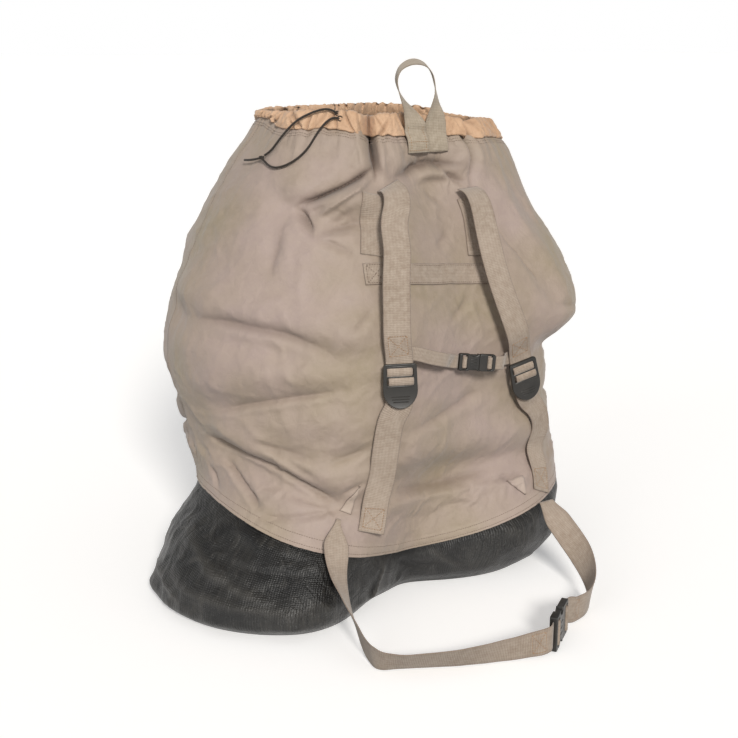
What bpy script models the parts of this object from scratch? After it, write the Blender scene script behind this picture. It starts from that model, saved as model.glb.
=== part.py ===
# Decoy bag: a big drawstring sack of coated cloth on a round mesh bottom,
# carried on two webbing shoulder straps with a sternum strap and a waist belt.
# Metres, +Z up, floor at z = 0. X = 0 lies between the shoulder straps and -Y is the strap side.
# Angles go round the sack seen from above: 0 right (+X), 90 back, 180 left, 270 front.

import math
from collections import namedtuple

import bmesh
import bpy
import numpy as np
from mathutils import Matrix, Vector
from mathutils.bvhtree import BVHTree

CLOTH_WALL = 0.002
MESH_WALL = 0.0015
COLLAR_WALL = 0.0045
COLLAR_HEIGHT = 0.028
HEM_OVERLAP = 0.012
GAP = 0.0003
WEBBING_WIDTH = 0.038
WEBBING_THICKNESS = 0.0016
STERNUM_WIDTH = 0.020
CORD_RADIUS = 0.0016
CORD_RESTS_BELOW = 0.0048
SEAT_CLEARANCE = 0.0006
SEAT_PASSES = 12
# Points of a cord: how many radii apart, and within how many it is drawn down to the cloth.
CORD_STEP = 5.0
CORD_SNAP = 2.5
HANDLE_CLEARANCE = WEBBING_THICKNESS * 0.5 + 0.0010
STRAP_CLEARANCE = WEBBING_THICKNESS * 0.5 + 0.0005

# The mesh wall stands this far inside the cloth hem, and the collar this far above the sack.
MESH_TUCK = CLOTH_WALL + 0.0008
MESH_BELOW_HEM = 0.010
MESH_LOW_ROWS = (0.010, 0.030)
MESH_SHARES = (0.35, 0.70)
COLLAR_SEAM = 0.0024
UPPER_BAND_WIDTH = 0.031

SACK_COLUMNS = 52
SACK_ROWS = 22
COLLAR_COLUMNS = 104
COLLAR_ROWS = 3
PLEATS = 13
PLEAT_DEPTH = 0.0045
PLEAT_FADE = 0.045
GATHERS = 26
GATHER_DEPTH = 0.0035
# How unevenly pleats and gathers are spread round the mouth.
PLEAT_DRIFT = 0.9
GATHER_DRIFT = 1.3
# A fold's shape in half widths: how far it runs out at its ends, and where its lip stands.
FOLD_FADE = 1.5
LIP_PLACE = 1.7
LIP_SPREAD = 1.2


def table(columns, *rows):
    """Rows of numbers under named columns."""
    row_of = namedtuple("Row", columns)
    return [row_of(*row) for row in rows]


# The girth of the sack at each height: the middle of the section, then how far the cloth
# reaches from it in eight directions.
SECTIONS = table(
    "height middle_x middle_y right back_right back back_left left front_left front front_right",
    (0.000, -0.095, 0.000, 0.308, 0.252, 0.172, 0.162, 0.308, 0.308, 0.172, 0.290),
    (0.012, -0.095, 0.000, 0.326, 0.266, 0.184, 0.174, 0.320, 0.324, 0.184, 0.308),
    (0.035, -0.095, 0.000, 0.345, 0.280, 0.200, 0.180, 0.315, 0.330, 0.190, 0.325),
    (0.080, -0.090, 0.000, 0.360, 0.290, 0.210, 0.190, 0.295, 0.310, 0.195, 0.330),
    (0.140, -0.060, 0.005, 0.350, 0.290, 0.215, 0.210, 0.270, 0.280, 0.200, 0.300),
    (0.200, -0.030, 0.010, 0.330, 0.290, 0.225, 0.245, 0.290, 0.285, 0.215, 0.275),
    (0.300, -0.005, 0.015, 0.295, 0.290, 0.235, 0.300, 0.335, 0.305, 0.220, 0.260),
    (0.400, 0.005, 0.020, 0.322, 0.280, 0.230, 0.310, 0.345, 0.305, 0.215, 0.290),
    (0.480, 0.010, 0.025, 0.300, 0.260, 0.215, 0.290, 0.315, 0.275, 0.190, 0.265),
    (0.560, 0.005, 0.030, 0.255, 0.220, 0.185, 0.250, 0.270, 0.235, 0.155, 0.220),
    (0.630, 0.000, 0.030, 0.225, 0.185, 0.145, 0.205, 0.220, 0.190, 0.130, 0.185),
    (0.670, -0.005, 0.030, 0.200, 0.160, 0.110, 0.165, 0.190, 0.165, 0.115, 0.165),
    (0.695, -0.005, 0.030, 0.188, 0.148, 0.103, 0.153, 0.178, 0.148, 0.108, 0.153),
)

# Heights of the sewn edges in the same eight directions, from right round to front right.
HEM = (0.102, 0.105, 0.110, 0.130, 0.150, 0.114, 0.066, 0.106)
RIM = (0.655, 0.668, 0.690, 0.692, 0.688, 0.690, 0.684, 0.674)

# Valleys of the cloth, each a line from one place on the sack to another: half its width,
# how deep it sinks, and how far the cloth above it stands out.
FOLDS = table(
    "angle_1 height_1 angle_2 height_2 half_width depth lip",
    (233, 0.605, 232, 0.668, 0.012, 0.014, 0.000),
    (298, 0.608, 304, 0.664, 0.012, 0.012, 0.000),
    (238, 0.596, 296, 0.590, 0.020, 0.014, 0.012),
    (205, 0.566, 230, 0.548, 0.020, 0.018, 0.010),
    (168, 0.400, 226, 0.372, 0.022, 0.015, 0.010),
    (188, 0.286, 225, 0.330, 0.024, 0.009, 0.006),
    (178, 0.232, 228, 0.168, 0.020, 0.013, 0.010),
    (250, 0.190, 305, 0.178, 0.024, 0.015, 0.012),
    (298, 0.535, 306, 0.430, 0.020, 0.012, 0.006),
    (310, 0.340, 350, 0.300, 0.024, 0.016, 0.012),
    (20, 0.380, 75, 0.340, 0.026, 0.013, 0.010),
    (45, 0.220, 110, 0.250, 0.026, 0.012, 0.008),
    (95, 0.500, 150, 0.460, 0.024, 0.014, 0.008),
    (110, 0.350, 160, 0.290, 0.024, 0.012, 0.008),
    (15, 0.560, 60, 0.540, 0.022, 0.010, 0.006),
)

# Broad swellings and hollows left by what the sack carries.
SWELLS = table(
    "angle height half_width half_height rise",
    (248, 0.010, 0.045, 0.060, -0.022),
    (322, 0.385, 0.080, 0.050, 0.014),
    (266, 0.640, 0.055, 0.030, 0.008),
    (150, 0.050, 0.070, 0.050, 0.008),
    (60, 0.055, 0.080, 0.050, 0.008),
    (105, 0.040, 0.040, 0.060, -0.012),
)

# Hung webbing from end to end: place on the sack, distance off it, and which way it faces.
STRAP_COLUMNS = "angle height standoff facing"
SHOULDER_LEFT = table(
    STRAP_COLUMNS,
    (238.5, 0.588, 0.0060, 246), (239.0, 0.580, 0.0170, 246), (239.0, 0.562, 0.0240, 245),
    (238.0, 0.535, 0.0280, 244), (236.5, 0.500, 0.0300, 243), (236.0, 0.460, 0.0280, 242),
    (236.2, 0.425, 0.0250, 242), (236.8, 0.392, 0.0225, 242))
SHOULDER_RIGHT = table(
    STRAP_COLUMNS,
    (289.5, 0.574, 0.0060, 268), (289.0, 0.566, 0.0170, 267), (287.5, 0.547, 0.0240, 265),
    (285.0, 0.520, 0.0280, 262), (282.5, 0.485, 0.0300, 260), (282.5, 0.445, 0.0290, 260),
    (284.8, 0.405, 0.0270, 260), (288.3, 0.370, 0.0250, 260))
LOWER_LEFT = table(
    STRAP_COLUMNS,
    (238.0, 0.290, 0.0115, 244), (237.8, 0.262, 0.0095, 244), (238.2, 0.235, 0.0075, 244),
    (239.0, 0.200, 0.0060, 244), (240.0, 0.165, 0.0050, 246), (241.5, 0.142, 0.0040, 246),
    (242.6, 0.121, 0.0030, 246))
LOWER_RIGHT = table(
    STRAP_COLUMNS,
    (302.3, 0.254, 0.0135, 264), (306.0, 0.232, 0.0100, 268), (309.2, 0.206, 0.0075, 273),
    (311.3, 0.180, 0.0055, 277), (312.5, 0.152, 0.0032, 281), (312.6, 0.132, 0.0020, 284),
    (312.0, 0.116, 0.0010, 286))
STERNUM_LEFT = table(
    STRAP_COLUMNS,
    (247.0, 0.364, 0.0240, 247), (252.5, 0.356, 0.0265, 249))

# Adjusters and the chest buckle: place on the sack, distance off it, the way each faces,
# and its turn in its own plane in degrees.
PLACING_COLUMNS = "angle height standoff facing turn"
LOCK_LEFT, LOCK_RIGHT, STERNUM_BUCKLE = table(
    PLACING_COLUMNS,
    (238.6, 0.3335, 0.0185, 243, 1.0),
    (295.2, 0.3000, 0.0225, 260, 14.0),
    (267.2, 0.3425, 0.0275, 251, -6.0))
LOCK_WIDTH = 0.046
LOCK_LENGTH = 0.062
LOCK_THICKNESS = 0.0045
LOCK_CORNER = 0.004
LOCK_TAB_DROP = 0.006
LOCK_TAB_FLARE = 0.001
LOCK_WINDOWS = (0.0195, 0.0065)
LOCK_WINDOW_SIZE = (0.036, 0.009)
LOCK_UPPER_SPOTS = ((0.0, 0.040), (0.0, 0.024))
LOCK_LOWER_SPOTS = ((0.0, -0.006), (0.0, -0.028))
# Where the chest strap runs behind the shoulder webbing, above each adjuster.
CROSSING_LEFT_SPOTS = ((-0.004, 0.0445), (0.022, 0.0430))
CROSSING_RIGHT_SPOTS = ((-0.022, 0.0420), (0.0, 0.0370))
STERNUM_BUCKLE_SIZE = (0.056, 0.025, 0.008)
STERNUM_STRAIGHT = 0.008
BELT_BUCKLE = (-0.0270, -0.4410, 0.0258)
BELT_BUCKLE_TURN = 33.0
BELT_STRAIGHT = 0.012
BELT_BUCKLE_SIZE = (0.066, 0.051, 0.011)
BUCKLE_SPLIT = 0.55
BUCKLE_EDGE = 0.002

# Webbing sewn flat on the sack: the middle line, at places on the sack.
BAND_COLUMNS = "angle height"
UPPER_BAND = table(
    BAND_COLUMNS,
    (229.5, 0.481), (236.0, 0.480), (243.0, 0.476), (250.0, 0.472), (257.0, 0.468),
    (264.0, 0.465), (271.0, 0.462), (278.0, 0.460), (285.0, 0.459), (290.0, 0.458))
INNER_LEFT = table(
    BAND_COLUMNS,
    (233.6, 0.583), (233.2, 0.560), (232.8, 0.535), (232.6, 0.515), (232.4, 0.504))
INNER_RIGHT = table(
    BAND_COLUMNS,
    (288.6, 0.566), (287.4, 0.545), (285.2, 0.520), (283.0, 0.500), (281.6, 0.484))

# The waist belt: its middle line in metres and the lean of its width, 0 upright and 90 lying flat.
BELT_COLUMNS = "x y z lean"
BELT_LEFT = table(
    BELT_COLUMNS,
    (-0.2330, -0.2105, 0.140, 90), (-0.2410, -0.2205, 0.127, 92), (-0.2486, -0.2320, 0.112, 88),
    (-0.2568, -0.2490, 0.086, 66), (-0.2600, -0.2690, 0.062, 42), (-0.2635, -0.2910, 0.044, 24),
    (-0.2700, -0.3210, 0.0275, 14), (-0.2760, -0.3480, 0.0200, 12), (-0.2780, -0.3630, 0.0190, 14),
    (-0.2740, -0.3750, 0.0182, 24), (-0.2600, -0.3860, 0.0174, 33), (-0.2250, -0.4050, 0.0170, 34),
    (-0.1920, -0.4220, 0.0176, 30), (-0.1550, -0.4370, 0.0184, 22), (-0.1180, -0.4490, 0.0198, 12),
    (-0.0960, -0.4580, 0.0225, 6), (-0.0790, -0.4650, 0.0245, 0))
BELT_RIGHT = table(
    BELT_COLUMNS,
    (0.0300, -0.4130, 0.0205, 0), (0.0550, -0.4080, 0.0195, 4), (0.0790, -0.3950, 0.0225, 9),
    (0.0950, -0.3790, 0.0320, 16), (0.1080, -0.3570, 0.0440, 26), (0.1150, -0.3340, 0.0580, 37),
    (0.1160, -0.3110, 0.0740, 48), (0.1160, -0.2860, 0.0910, 60), (0.1190, -0.2640, 0.1040, 72),
    (0.1230, -0.2500, 0.1100, 80))

# Three-cornered tabs that hold the belt ends to the sack: tip, then the two lower corners.
TAB_LEFT = table(BAND_COLUMNS, (234.2, 0.192), (230.4, 0.156), (234.4, 0.150))
TAB_RIGHT = table(BAND_COLUMNS, (305.5, 0.119), (305.5, 0.146), (299.0, 0.143))
TAB_ROWS = (0.06, 0.36, 0.68, 1.0)

# Haul handle: two ends sewn side by side on the front of the collar, and the loop between them.
HANDLE_ENDS_X = (-0.0245, 0.0195)
HANDLE_REACH = 0.008
HANDLE_SEWN_HEIGHTS = (0.628, 0.640, 0.652, 0.664, 0.676, 0.686)
HANDLE_LOOP = table(
    "x y z turn",
    (-0.0335, -0.0990, 0.6990, 20), (-0.0425, -0.0950, 0.7110, 42), (-0.0485, -0.0920, 0.7250, 54),
    (-0.0490, -0.0905, 0.7400, 58), (-0.0410, -0.0900, 0.7520, 60), (-0.0265, -0.0900, 0.7595, 62),
    (-0.0095, -0.0900, 0.7620, 62), (0.0055, -0.0900, 0.7575, 62), (0.0155, -0.0900, 0.7465, 60),
    (0.0205, -0.0910, 0.7310, 54), (0.0225, -0.0940, 0.7150, 42), (0.0230, -0.0980, 0.7000, 20))

# Drawcord routes over the neck of the sack: places on the sack and distance off it.
CORD_COLUMNS = "angle height standoff"
CORD_UPPER = table(
    CORD_COLUMNS,
    (213.5, 0.6915, 0.0085), (210.0, 0.691, 0.0090), (206.5, 0.688, 0.0100), (203.5, 0.683, 0.0105),
    (200.5, 0.676, 0.0100), (198.5, 0.668, 0.0085), (196.5, 0.659, 0.0070), (194.5, 0.650, 0.0055),
    (192.8, 0.642, 0.0045), (191.3, 0.635, 0.0040), (190.4, 0.6315, 0.0040))
CORD_LOWER = table(
    CORD_COLUMNS,
    (215.5, 0.6800, 0.0080), (213.3, 0.6755, 0.0080), (211.5, 0.668, 0.0075), (209.8, 0.660, 0.0065),
    (208.2, 0.649, 0.0045), (206.4, 0.638, 0.0038), (204.2, 0.628, 0.0034), (201.6, 0.620, 0.0034),
    (198.6, 0.6155, 0.0034), (195.6, 0.6145, 0.0034), (193.0, 0.6170, 0.0034), (191.3, 0.6205, 0.0036))
CORD_TAIL = table(
    CORD_COLUMNS,
    (187.0, 0.6240, 0.0040), (185.3, 0.6225, 0.0036), (183.4, 0.6210, 0.0034), (181.6, 0.6200, 0.0034),
    (179.9, 0.6205, 0.0034))
# Where the two long strands leave the drawstring channel.
EXIT_UPPER, EXIT_LOWER = table(BAND_COLUMNS, (217.0, 0.6885), (219.0, 0.6810))
EXIT_LENGTH = 0.008
EXIT_GAP = 0.0010
KNOT = (189.0, 0.6255, 0.0046)
KNOT_RADIUS = 0.0044

COLLECTION = "decoy_bag"
MATERIALS = {
    "coated_cloth": ((0.36, 0.27, 0.20, 1.0), 0.75, 0.0),
    "collar_cloth": ((0.62, 0.40, 0.26, 1.0), 0.80, 0.0),
    "webbing": ((0.46, 0.37, 0.29, 1.0), 0.85, 0.0),
    "mesh": ((0.02, 0.022, 0.018, 1.0), 0.70, 0.0),
    "moulded_plastic": ((0.03, 0.03, 0.024, 1.0), 0.35, 0.0),
    "cord": ((0.03, 0.022, 0.018, 1.0), 0.70, 0.0),
}


def clear_scene():
    for thing in list(bpy.data.objects):
        bpy.data.objects.remove(thing, do_unlink=True)


def new_material(node, finish):
    colour, roughness, metallic = MATERIALS[finish]
    material = bpy.data.materials.new(f"{node}_{finish}")
    material.use_nodes = True
    shader = material.node_tree.nodes["Principled BSDF"]
    shader.inputs["Base Color"].default_value = colour
    shader.inputs["Roughness"].default_value = roughness
    shader.inputs["Metallic"].default_value = metallic
    return material


def add_object(name, data, finish, parts):
    thing = bpy.data.objects.new(name, data)
    parts.objects.link(thing)
    data.materials.append(new_material(name, finish))
    return thing


def smooth_between(heights, rows, wanted):
    """Values of each column at the wanted heights, on a smooth curve through the rows."""
    step = np.diff(heights)
    slope = np.diff(rows, axis=0) / step[:, None]
    tangent = np.empty_like(rows)
    tangent[0], tangent[-1] = slope[0], slope[-1]
    before, after = step[:-1, None], step[1:, None]
    tangent[1:-1] = (slope[:-1] * after + slope[1:] * before) / (before + after)
    index = np.clip(np.searchsorted(heights, wanted, side="right") - 1, 0, len(step) - 1)
    span = step[index][:, None]
    t = (wanted - heights[index])[:, None] / span
    return ((1 + 2 * t) * (1 - t) ** 2 * rows[index] + t * (1 - t) ** 2 * span * tangent[index]
            + t * t * (3 - 2 * t) * rows[index + 1] + t * t * (t - 1) * span * tangent[index + 1])


def round_the_sack(reaches, angles):
    """Reach at each angle from the eight named directions, on a smooth closed curve."""
    turn = np.mod(angles, 360.0) / 45.0
    index = np.floor(turn).astype(int)
    t = turn - index
    row = np.arange(len(angles))
    a, b, c, d = (reaches[row, (index + shift) % 8] for shift in (-1, 0, 1, 2))
    return 0.5 * (2 * b + (c - a) * t + (2 * a - 5 * b + 4 * c - d) * t ** 2
                  + (3 * b - a - 3 * c + d) * t ** 3)


def edge_height(edge, angles):
    angles = np.atleast_1d(np.asarray(angles, float))
    return round_the_sack(np.tile(edge, (len(angles), 1)), angles)


def turn_between(angle_1, angle_2):
    """Signed difference between two angles, by the short way round."""
    return (angle_1 - angle_2 + 180.0) % 360.0 - 180.0


def relief(angles, heights, radius):
    """How far folds, swellings and pleats move the cloth out of its smooth girth."""
    rise = np.zeros(len(angles))
    for fold in FOLDS:
        run = np.radians(turn_between(fold.angle_2, fold.angle_1)) * radius
        along = np.radians(turn_between(angles, fold.angle_1)) * radius
        climb, up = fold.height_2 - fold.height_1, heights - fold.height_1
        length = np.hypot(run, climb)
        place = (along * run + up * climb) / length
        aside = (up * run - along * climb) / length * np.sign(run)
        past = np.maximum(0.0, np.maximum(-place, place - length))
        fade = np.exp(-(past / (FOLD_FADE * fold.half_width)) ** 2)
        above = (aside / fold.half_width - LIP_PLACE) / LIP_SPREAD
        rise -= fold.depth * fade * np.exp(-(aside / fold.half_width) ** 2)
        rise += fold.lip * fade * np.exp(-above ** 2)
    for swell in SWELLS:
        along = np.radians(turn_between(angles, swell.angle)) * radius / swell.half_width
        up = (heights - swell.height) / swell.half_height
        rise += swell.rise * np.exp(-along ** 2 - up ** 2)
    below_rim = edge_height(RIM, angles) - heights
    wave = np.cos(np.radians(PLEATS * angles) + PLEAT_DRIFT * np.sin(np.radians(3 * angles)))
    return rise + PLEAT_DEPTH * np.exp(-np.maximum(below_rim, 0.0) / PLEAT_FADE) * wave


def skin(angles, heights):
    """Points on the outer face of the sack, as rows of x, y, z."""
    angles = np.atleast_1d(np.asarray(angles, float))
    heights = np.broadcast_to(np.atleast_1d(np.asarray(heights, float)), angles.shape)
    sections = np.array(SECTIONS)
    row = smooth_between(sections[:, 0], sections[:, 1:], heights)
    reach = round_the_sack(row[:, 2:], angles)
    reach = reach + relief(angles, heights, row[:, 2:].mean(axis=1))
    turn = np.radians(angles)
    return np.stack([row[:, 0] + reach * np.cos(turn), row[:, 1] + reach * np.sin(turn), heights], axis=1)


def skin_frame(angle, height):
    """A place on the sack: its point, the level direction, the way up the cloth and outward."""
    spread_angle, spread_height = 2.0, 0.008
    round_points = skin([angle - spread_angle, angle + spread_angle], height)
    rise_points = skin([angle, angle], [height - spread_height, height + spread_height])
    across = Vector(round_points[1] - round_points[0]).normalized()
    up = Vector(rise_points[1] - rise_points[0]).normalized()
    outward = across.cross(up).normalized()
    up = outward.cross(across).normalized()
    return Vector(skin([angle], height)[0]), across, up, outward


def off_skin(angle, height, standoff):
    point, _, _, outward = skin_frame(angle, height)
    return point + outward * standoff


def shell(name, rings, wall, finish, parts, closed_floor=False):
    """An open sheet through rings of points, thickened inward."""
    columns = len(rings[0])
    mesh = bpy.data.meshes.new(name)
    sheet = bmesh.new()
    rows = [[sheet.verts.new(point) for point in ring] for ring in rings]
    for low, high in zip(rows, rows[1:]):
        for k in range(columns):
            j = (k + 1) % columns
            sheet.faces.new((low[k], low[j], high[j], high[k]))
    if closed_floor:
        sheet.faces.new(list(reversed(rows[0])))
    sheet.to_mesh(mesh)
    sheet.free()
    thing = add_object(name, mesh, finish, parts)
    thicken = thing.modifiers.new("wall", "SOLIDIFY")
    thicken.thickness = wall
    thicken.offset = -1.0
    mesh.shade_smooth()
    return thing


def tucked_ring(angles, heights):
    """A ring of points inside the cloth hem."""
    return np.array([off_skin(angle, height, -MESH_TUCK) for angle, height in zip(angles, heights)])


def column_angles(columns):
    return np.arange(columns) * 360.0 / columns


def make_sack_body(parts):
    angles = column_angles(SACK_COLUMNS)
    hem = edge_height(HEM, angles)
    top = edge_height(RIM, angles) - COLLAR_HEIGHT
    first = hem + HEM_OVERLAP
    rings = [skin(angles, hem)]
    rings += [skin(angles, first + (top - first) * k / SACK_ROWS) for k in range(SACK_ROWS + 1)]
    return shell("sack_body", rings, CLOTH_WALL, "coated_cloth", parts)


def make_mesh_bottom(parts):
    """A round cup of mesh whose top edge runs up inside the cloth hem."""
    angles = column_angles(SACK_COLUMNS)
    hem = edge_height(HEM, angles)
    rings = [skin(angles, np.zeros(len(angles)))]
    rings += [skin(angles, np.full(len(angles), height)) for height in MESH_LOW_ROWS]
    low, below = MESH_LOW_ROWS[-1], hem - MESH_BELOW_HEM
    rings += [skin(angles, low + (below - low) * share) for share in MESH_SHARES]
    rings += [tucked_ring(angles, height) for height in (below, hem, hem + HEM_OVERLAP)]
    return shell("mesh_bottom", rings, MESH_WALL, "mesh", parts, closed_floor=True)


def make_collar(parts):
    """The gathered drawstring channel round the mouth."""
    angles = column_angles(COLLAR_COLUMNS)
    rim = edge_height(RIM, angles)
    bottom = rim - COLLAR_HEIGHT + COLLAR_SEAM
    wave = np.cos(np.radians(GATHERS * angles) + GATHER_DRIFT * np.sin(np.radians(5 * angles)))
    rings = []
    for k in range(COLLAR_ROWS + 1):
        part = k / COLLAR_ROWS
        points = skin(angles, bottom + (rim - bottom) * part)
        middle = points.mean(axis=0)
        outward = points - middle
        outward[:, 2] = 0.0
        outward /= np.linalg.norm(outward, axis=1)[:, None]
        lift = GATHER_DEPTH * wave * math.sin(math.pi * min(part, 0.75))
        rings.append(points + outward * lift[:, None])
    return shell("collar", rings, COLLAR_WALL, "collar_cloth", parts)


def outer_tree(thing):
    """A search tree over the finished mesh of an object."""
    bpy.context.view_layer.update()
    return BVHTree.FromObject(thing, bpy.context.evaluated_depsgraph_get())


def ribbon(name, rows, thickness, offset, finish, parts):
    """A strip of webbing through rows of points that run across it."""
    mesh = bpy.data.meshes.new(name)
    strip = bmesh.new()
    lines = [[strip.verts.new(point) for point in row] for row in rows]
    for here, there in zip(lines, lines[1:]):
        for k in range(len(here) - 1):
            strip.faces.new((here[k], here[k + 1], there[k + 1], there[k]))
    strip.to_mesh(mesh)
    strip.free()
    thing = add_object(name, mesh, finish, parts)
    thicken = thing.modifiers.new("thickness", "SOLIDIFY")
    thicken.thickness = thickness
    thicken.offset = offset
    return thing


def settle(rows, tree, clearance):
    """Lifts a strip until no spot of it is nearer to the sack than the clearance."""
    for _ in range(SEAT_PASSES):
        for here, there in zip(rows, rows[1:]):
            for k in range(len(here) - 1):
                corners = (here[k], here[k + 1], there[k], there[k + 1])
                for u in (0.0, 0.25, 0.5, 0.75, 1.0):
                    for v in (0.0, 0.25, 0.5, 0.75, 1.0):
                        share = ((1 - u) * (1 - v), (1 - u) * v, u * (1 - v), u * v)
                        spot = sum((c * w for c, w in zip(corners, share)), Vector())
                        nearest, facing, _, _ = tree.find_nearest(spot)
                        lack = max(0.0, clearance - (spot - nearest).dot(facing))
                        lift = facing * (lack / sum(weight ** 2 for weight in share))
                        for corner, weight in zip(corners, share):
                            corner += lift * weight


def lay_across(middles, outwards, width, spread):
    """Rows of points across a strip, at right angles to its run and to the way it faces."""
    rows = []
    for k, middle in enumerate(middles):
        before, after = middles[max(k - 1, 0)], middles[min(k + 1, len(middles) - 1)]
        across = (after - before).normalized().cross(outwards[k]).normalized()
        rows.append([middle + across * width * side for side in spread])
    return rows


def sewn_band(name, places, width, tree, finish, parts):
    """Webbing that lies flat on the cloth, seated on the finished mesh of the sack."""
    frames = [skin_frame(angle, height) for angle, height in places]
    rows = lay_across([frame[0] for frame in frames], [frame[3] for frame in frames],
                      width, (0.5, 0.0, -0.5))
    rows = [[tree.find_nearest(spot)[0] for spot in row] for row in rows]
    settle(rows, tree, SEAT_CLEARANCE)
    return ribbon(name, rows, WEBBING_THICKNESS, -1.0, finish, parts)


def faced(outward, facing):
    """The same slope as the cloth, but turned to face a given way round."""
    level = math.hypot(outward.x, outward.y)
    turn = math.radians(facing)
    return Vector((level * math.cos(turn), level * math.sin(turn), outward.z))


def on_sack(places):
    """Points off the sack and the way the webbing faces there."""
    return [(off_skin(place.angle, place.height, place.standoff),
             faced(skin_frame(place.angle, place.height)[3], place.facing)) for place in places]


def behind(place, spots, depth):
    """Points behind a placed piece, at spots across and up it, facing as it does."""
    matrix = placing(*place)
    outward = matrix.to_3x3() @ Vector((0.0, 0.0, 1.0))
    return [(matrix @ Vector((x, y, -depth)), outward) for x, y in spots]


def hung_strap(name, stations, width, tree, finish, parts):
    """Webbing through points that stand off the sack."""
    middles = [point for point, _ in stations]
    outwards = [outward for _, outward in stations]
    rows = lay_across(middles, outwards, width, (0.5, -0.5))
    settle(rows, tree, SEAT_CLEARANCE + WEBBING_THICKNESS * 0.5)
    return ribbon(name, rows, WEBBING_THICKNESS, 0.0, finish, parts)


def make_belt(name, stations, end, buckle, tree, parts):
    """A waist belt run between the sack and one end of the buckle, its width leaning from upright."""
    middles = [Vector((station.x, station.y, station.z)) for station in stations]
    leans = [math.radians(station.lean) for station in stations]
    face = BELT_BUCKLE_SIZE[0] * 0.5 + 2.0 * GAP
    into = [buckle @ Vector((end * reach, 0.0, 0.0)) for reach in (face, face + BELT_STRAIGHT)]
    if end < 0:
        middles, leans = middles + into[::-1], leans + [0.0, 0.0]
    else:
        middles, leans = into + middles, [0.0, 0.0] + leans
    rows = []
    for k, lean in enumerate(leans):
        before, after = middles[max(k - 1, 0)], middles[min(k + 1, len(middles) - 1)]
        along = (after - before).normalized()
        upright = (Vector((0, 0, 1)) - along * along.z).normalized()
        across = upright * math.cos(lean) + along.cross(upright) * math.sin(lean)
        rows.append([middles[k] - across * WEBBING_WIDTH * 0.5, middles[k] + across * WEBBING_WIDTH * 0.5])
    settle(rows[:3] if end < 0 else rows[-3:], tree, SEAT_CLEARANCE + WEBBING_THICKNESS * 0.5)
    return ribbon(name, rows, WEBBING_THICKNESS, 0.0, "webbing", parts)


def front_of(trees, x, z, half_width):
    """How far forward the pieces reach behind a level stretch of webbing."""
    reach = []
    for across in np.linspace(-half_width, half_width, 7):
        for rise in (-HANDLE_REACH, 0.0, HANDLE_REACH):
            start = Vector((x + across, -1.0, z + rise))
            hits = [tree.ray_cast(start, Vector((0.0, 1.0, 0.0)))[0] for tree in trees]
            reach += [hit.y for hit in hits if hit is not None]
    return min(reach)


def make_handle(trees, parts):
    """The haul handle: up one sewn end, round the loop and down the other."""
    half = WEBBING_WIDTH * 0.5
    stations = []
    for x, heights in zip(HANDLE_ENDS_X, (HANDLE_SEWN_HEIGHTS, HANDLE_SEWN_HEIGHTS[::-1])):
        seated = [(x, front_of(trees, x, z, half) - HANDLE_CLEARANCE, z, 0) for z in heights]
        stations += seated if stations else seated + list(HANDLE_LOOP)
    rows = []
    for x, y, z, turn in stations:
        across = Vector((math.cos(math.radians(turn)), math.sin(math.radians(turn)), 0.0))
        middle = Vector((x, y, z))
        rows.append([middle - across * half, middle + across * half])
    return ribbon("haul_handle", rows, WEBBING_THICKNESS, 0.0, "webbing", parts)


def placing(angle, height, standoff, facing, turn):
    """World matrix of a piece on the sack: X across, Y up the cloth, Z outward."""
    outward = faced(skin_frame(angle, height)[3], facing)
    across = Vector((0.0, 0.0, 1.0)).cross(outward).normalized()
    turned = Matrix.Rotation(math.radians(turn), 3, outward)
    axes = Matrix((turned @ across, turned @ outward.cross(across), outward)).transposed()
    return Matrix.Translation(off_skin(angle, height, standoff)) @ axes.to_4x4()


def flat_curve(name, outlines, thickness, matrix, finish, parts):
    """A flat plate from closed outlines, inner ones being windows, fixed as a mesh."""
    curve = bpy.data.curves.new(name, "CURVE")
    curve.dimensions = "2D"
    curve.fill_mode = "BOTH"
    curve.extrude = thickness * 0.5
    for outline in outlines:
        spline = curve.splines.new("POLY")
        spline.points.add(len(outline) - 1)
        for point, (x, y) in zip(spline.points, outline):
            point.co = (x, y, 0.0, 1.0)
        spline.use_cyclic_u = True
    draft = bpy.data.objects.new(name + "_draft", curve)
    parts.objects.link(draft)
    bpy.context.view_layer.update()
    mesh = bpy.data.meshes.new_from_object(draft.evaluated_get(bpy.context.evaluated_depsgraph_get()))
    bpy.data.objects.remove(draft, do_unlink=True)
    welded = bmesh.new()
    welded.from_mesh(mesh)
    bmesh.ops.remove_doubles(welded, verts=welded.verts, dist=1e-6)
    welded.to_mesh(mesh)
    welded.free()
    mesh.materials.clear()
    thing = add_object(name, mesh, finish, parts)
    thing.matrix_world = matrix
    return thing


def arc(middle, radius, start, end, steps):
    """Points along an arc, angles in degrees."""
    turns = np.radians(np.linspace(start, end, steps + 1))
    return [(middle[0] + radius[0] * math.cos(t), middle[1] + radius[1] * math.sin(t)) for t in turns]


def rectangle(middle_y, size):
    half_x, half_y = size[0] * 0.5, size[1] * 0.5
    return [(-half_x, middle_y - half_y), (half_x, middle_y - half_y),
            (half_x, middle_y + half_y), (-half_x, middle_y + half_y)]


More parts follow.
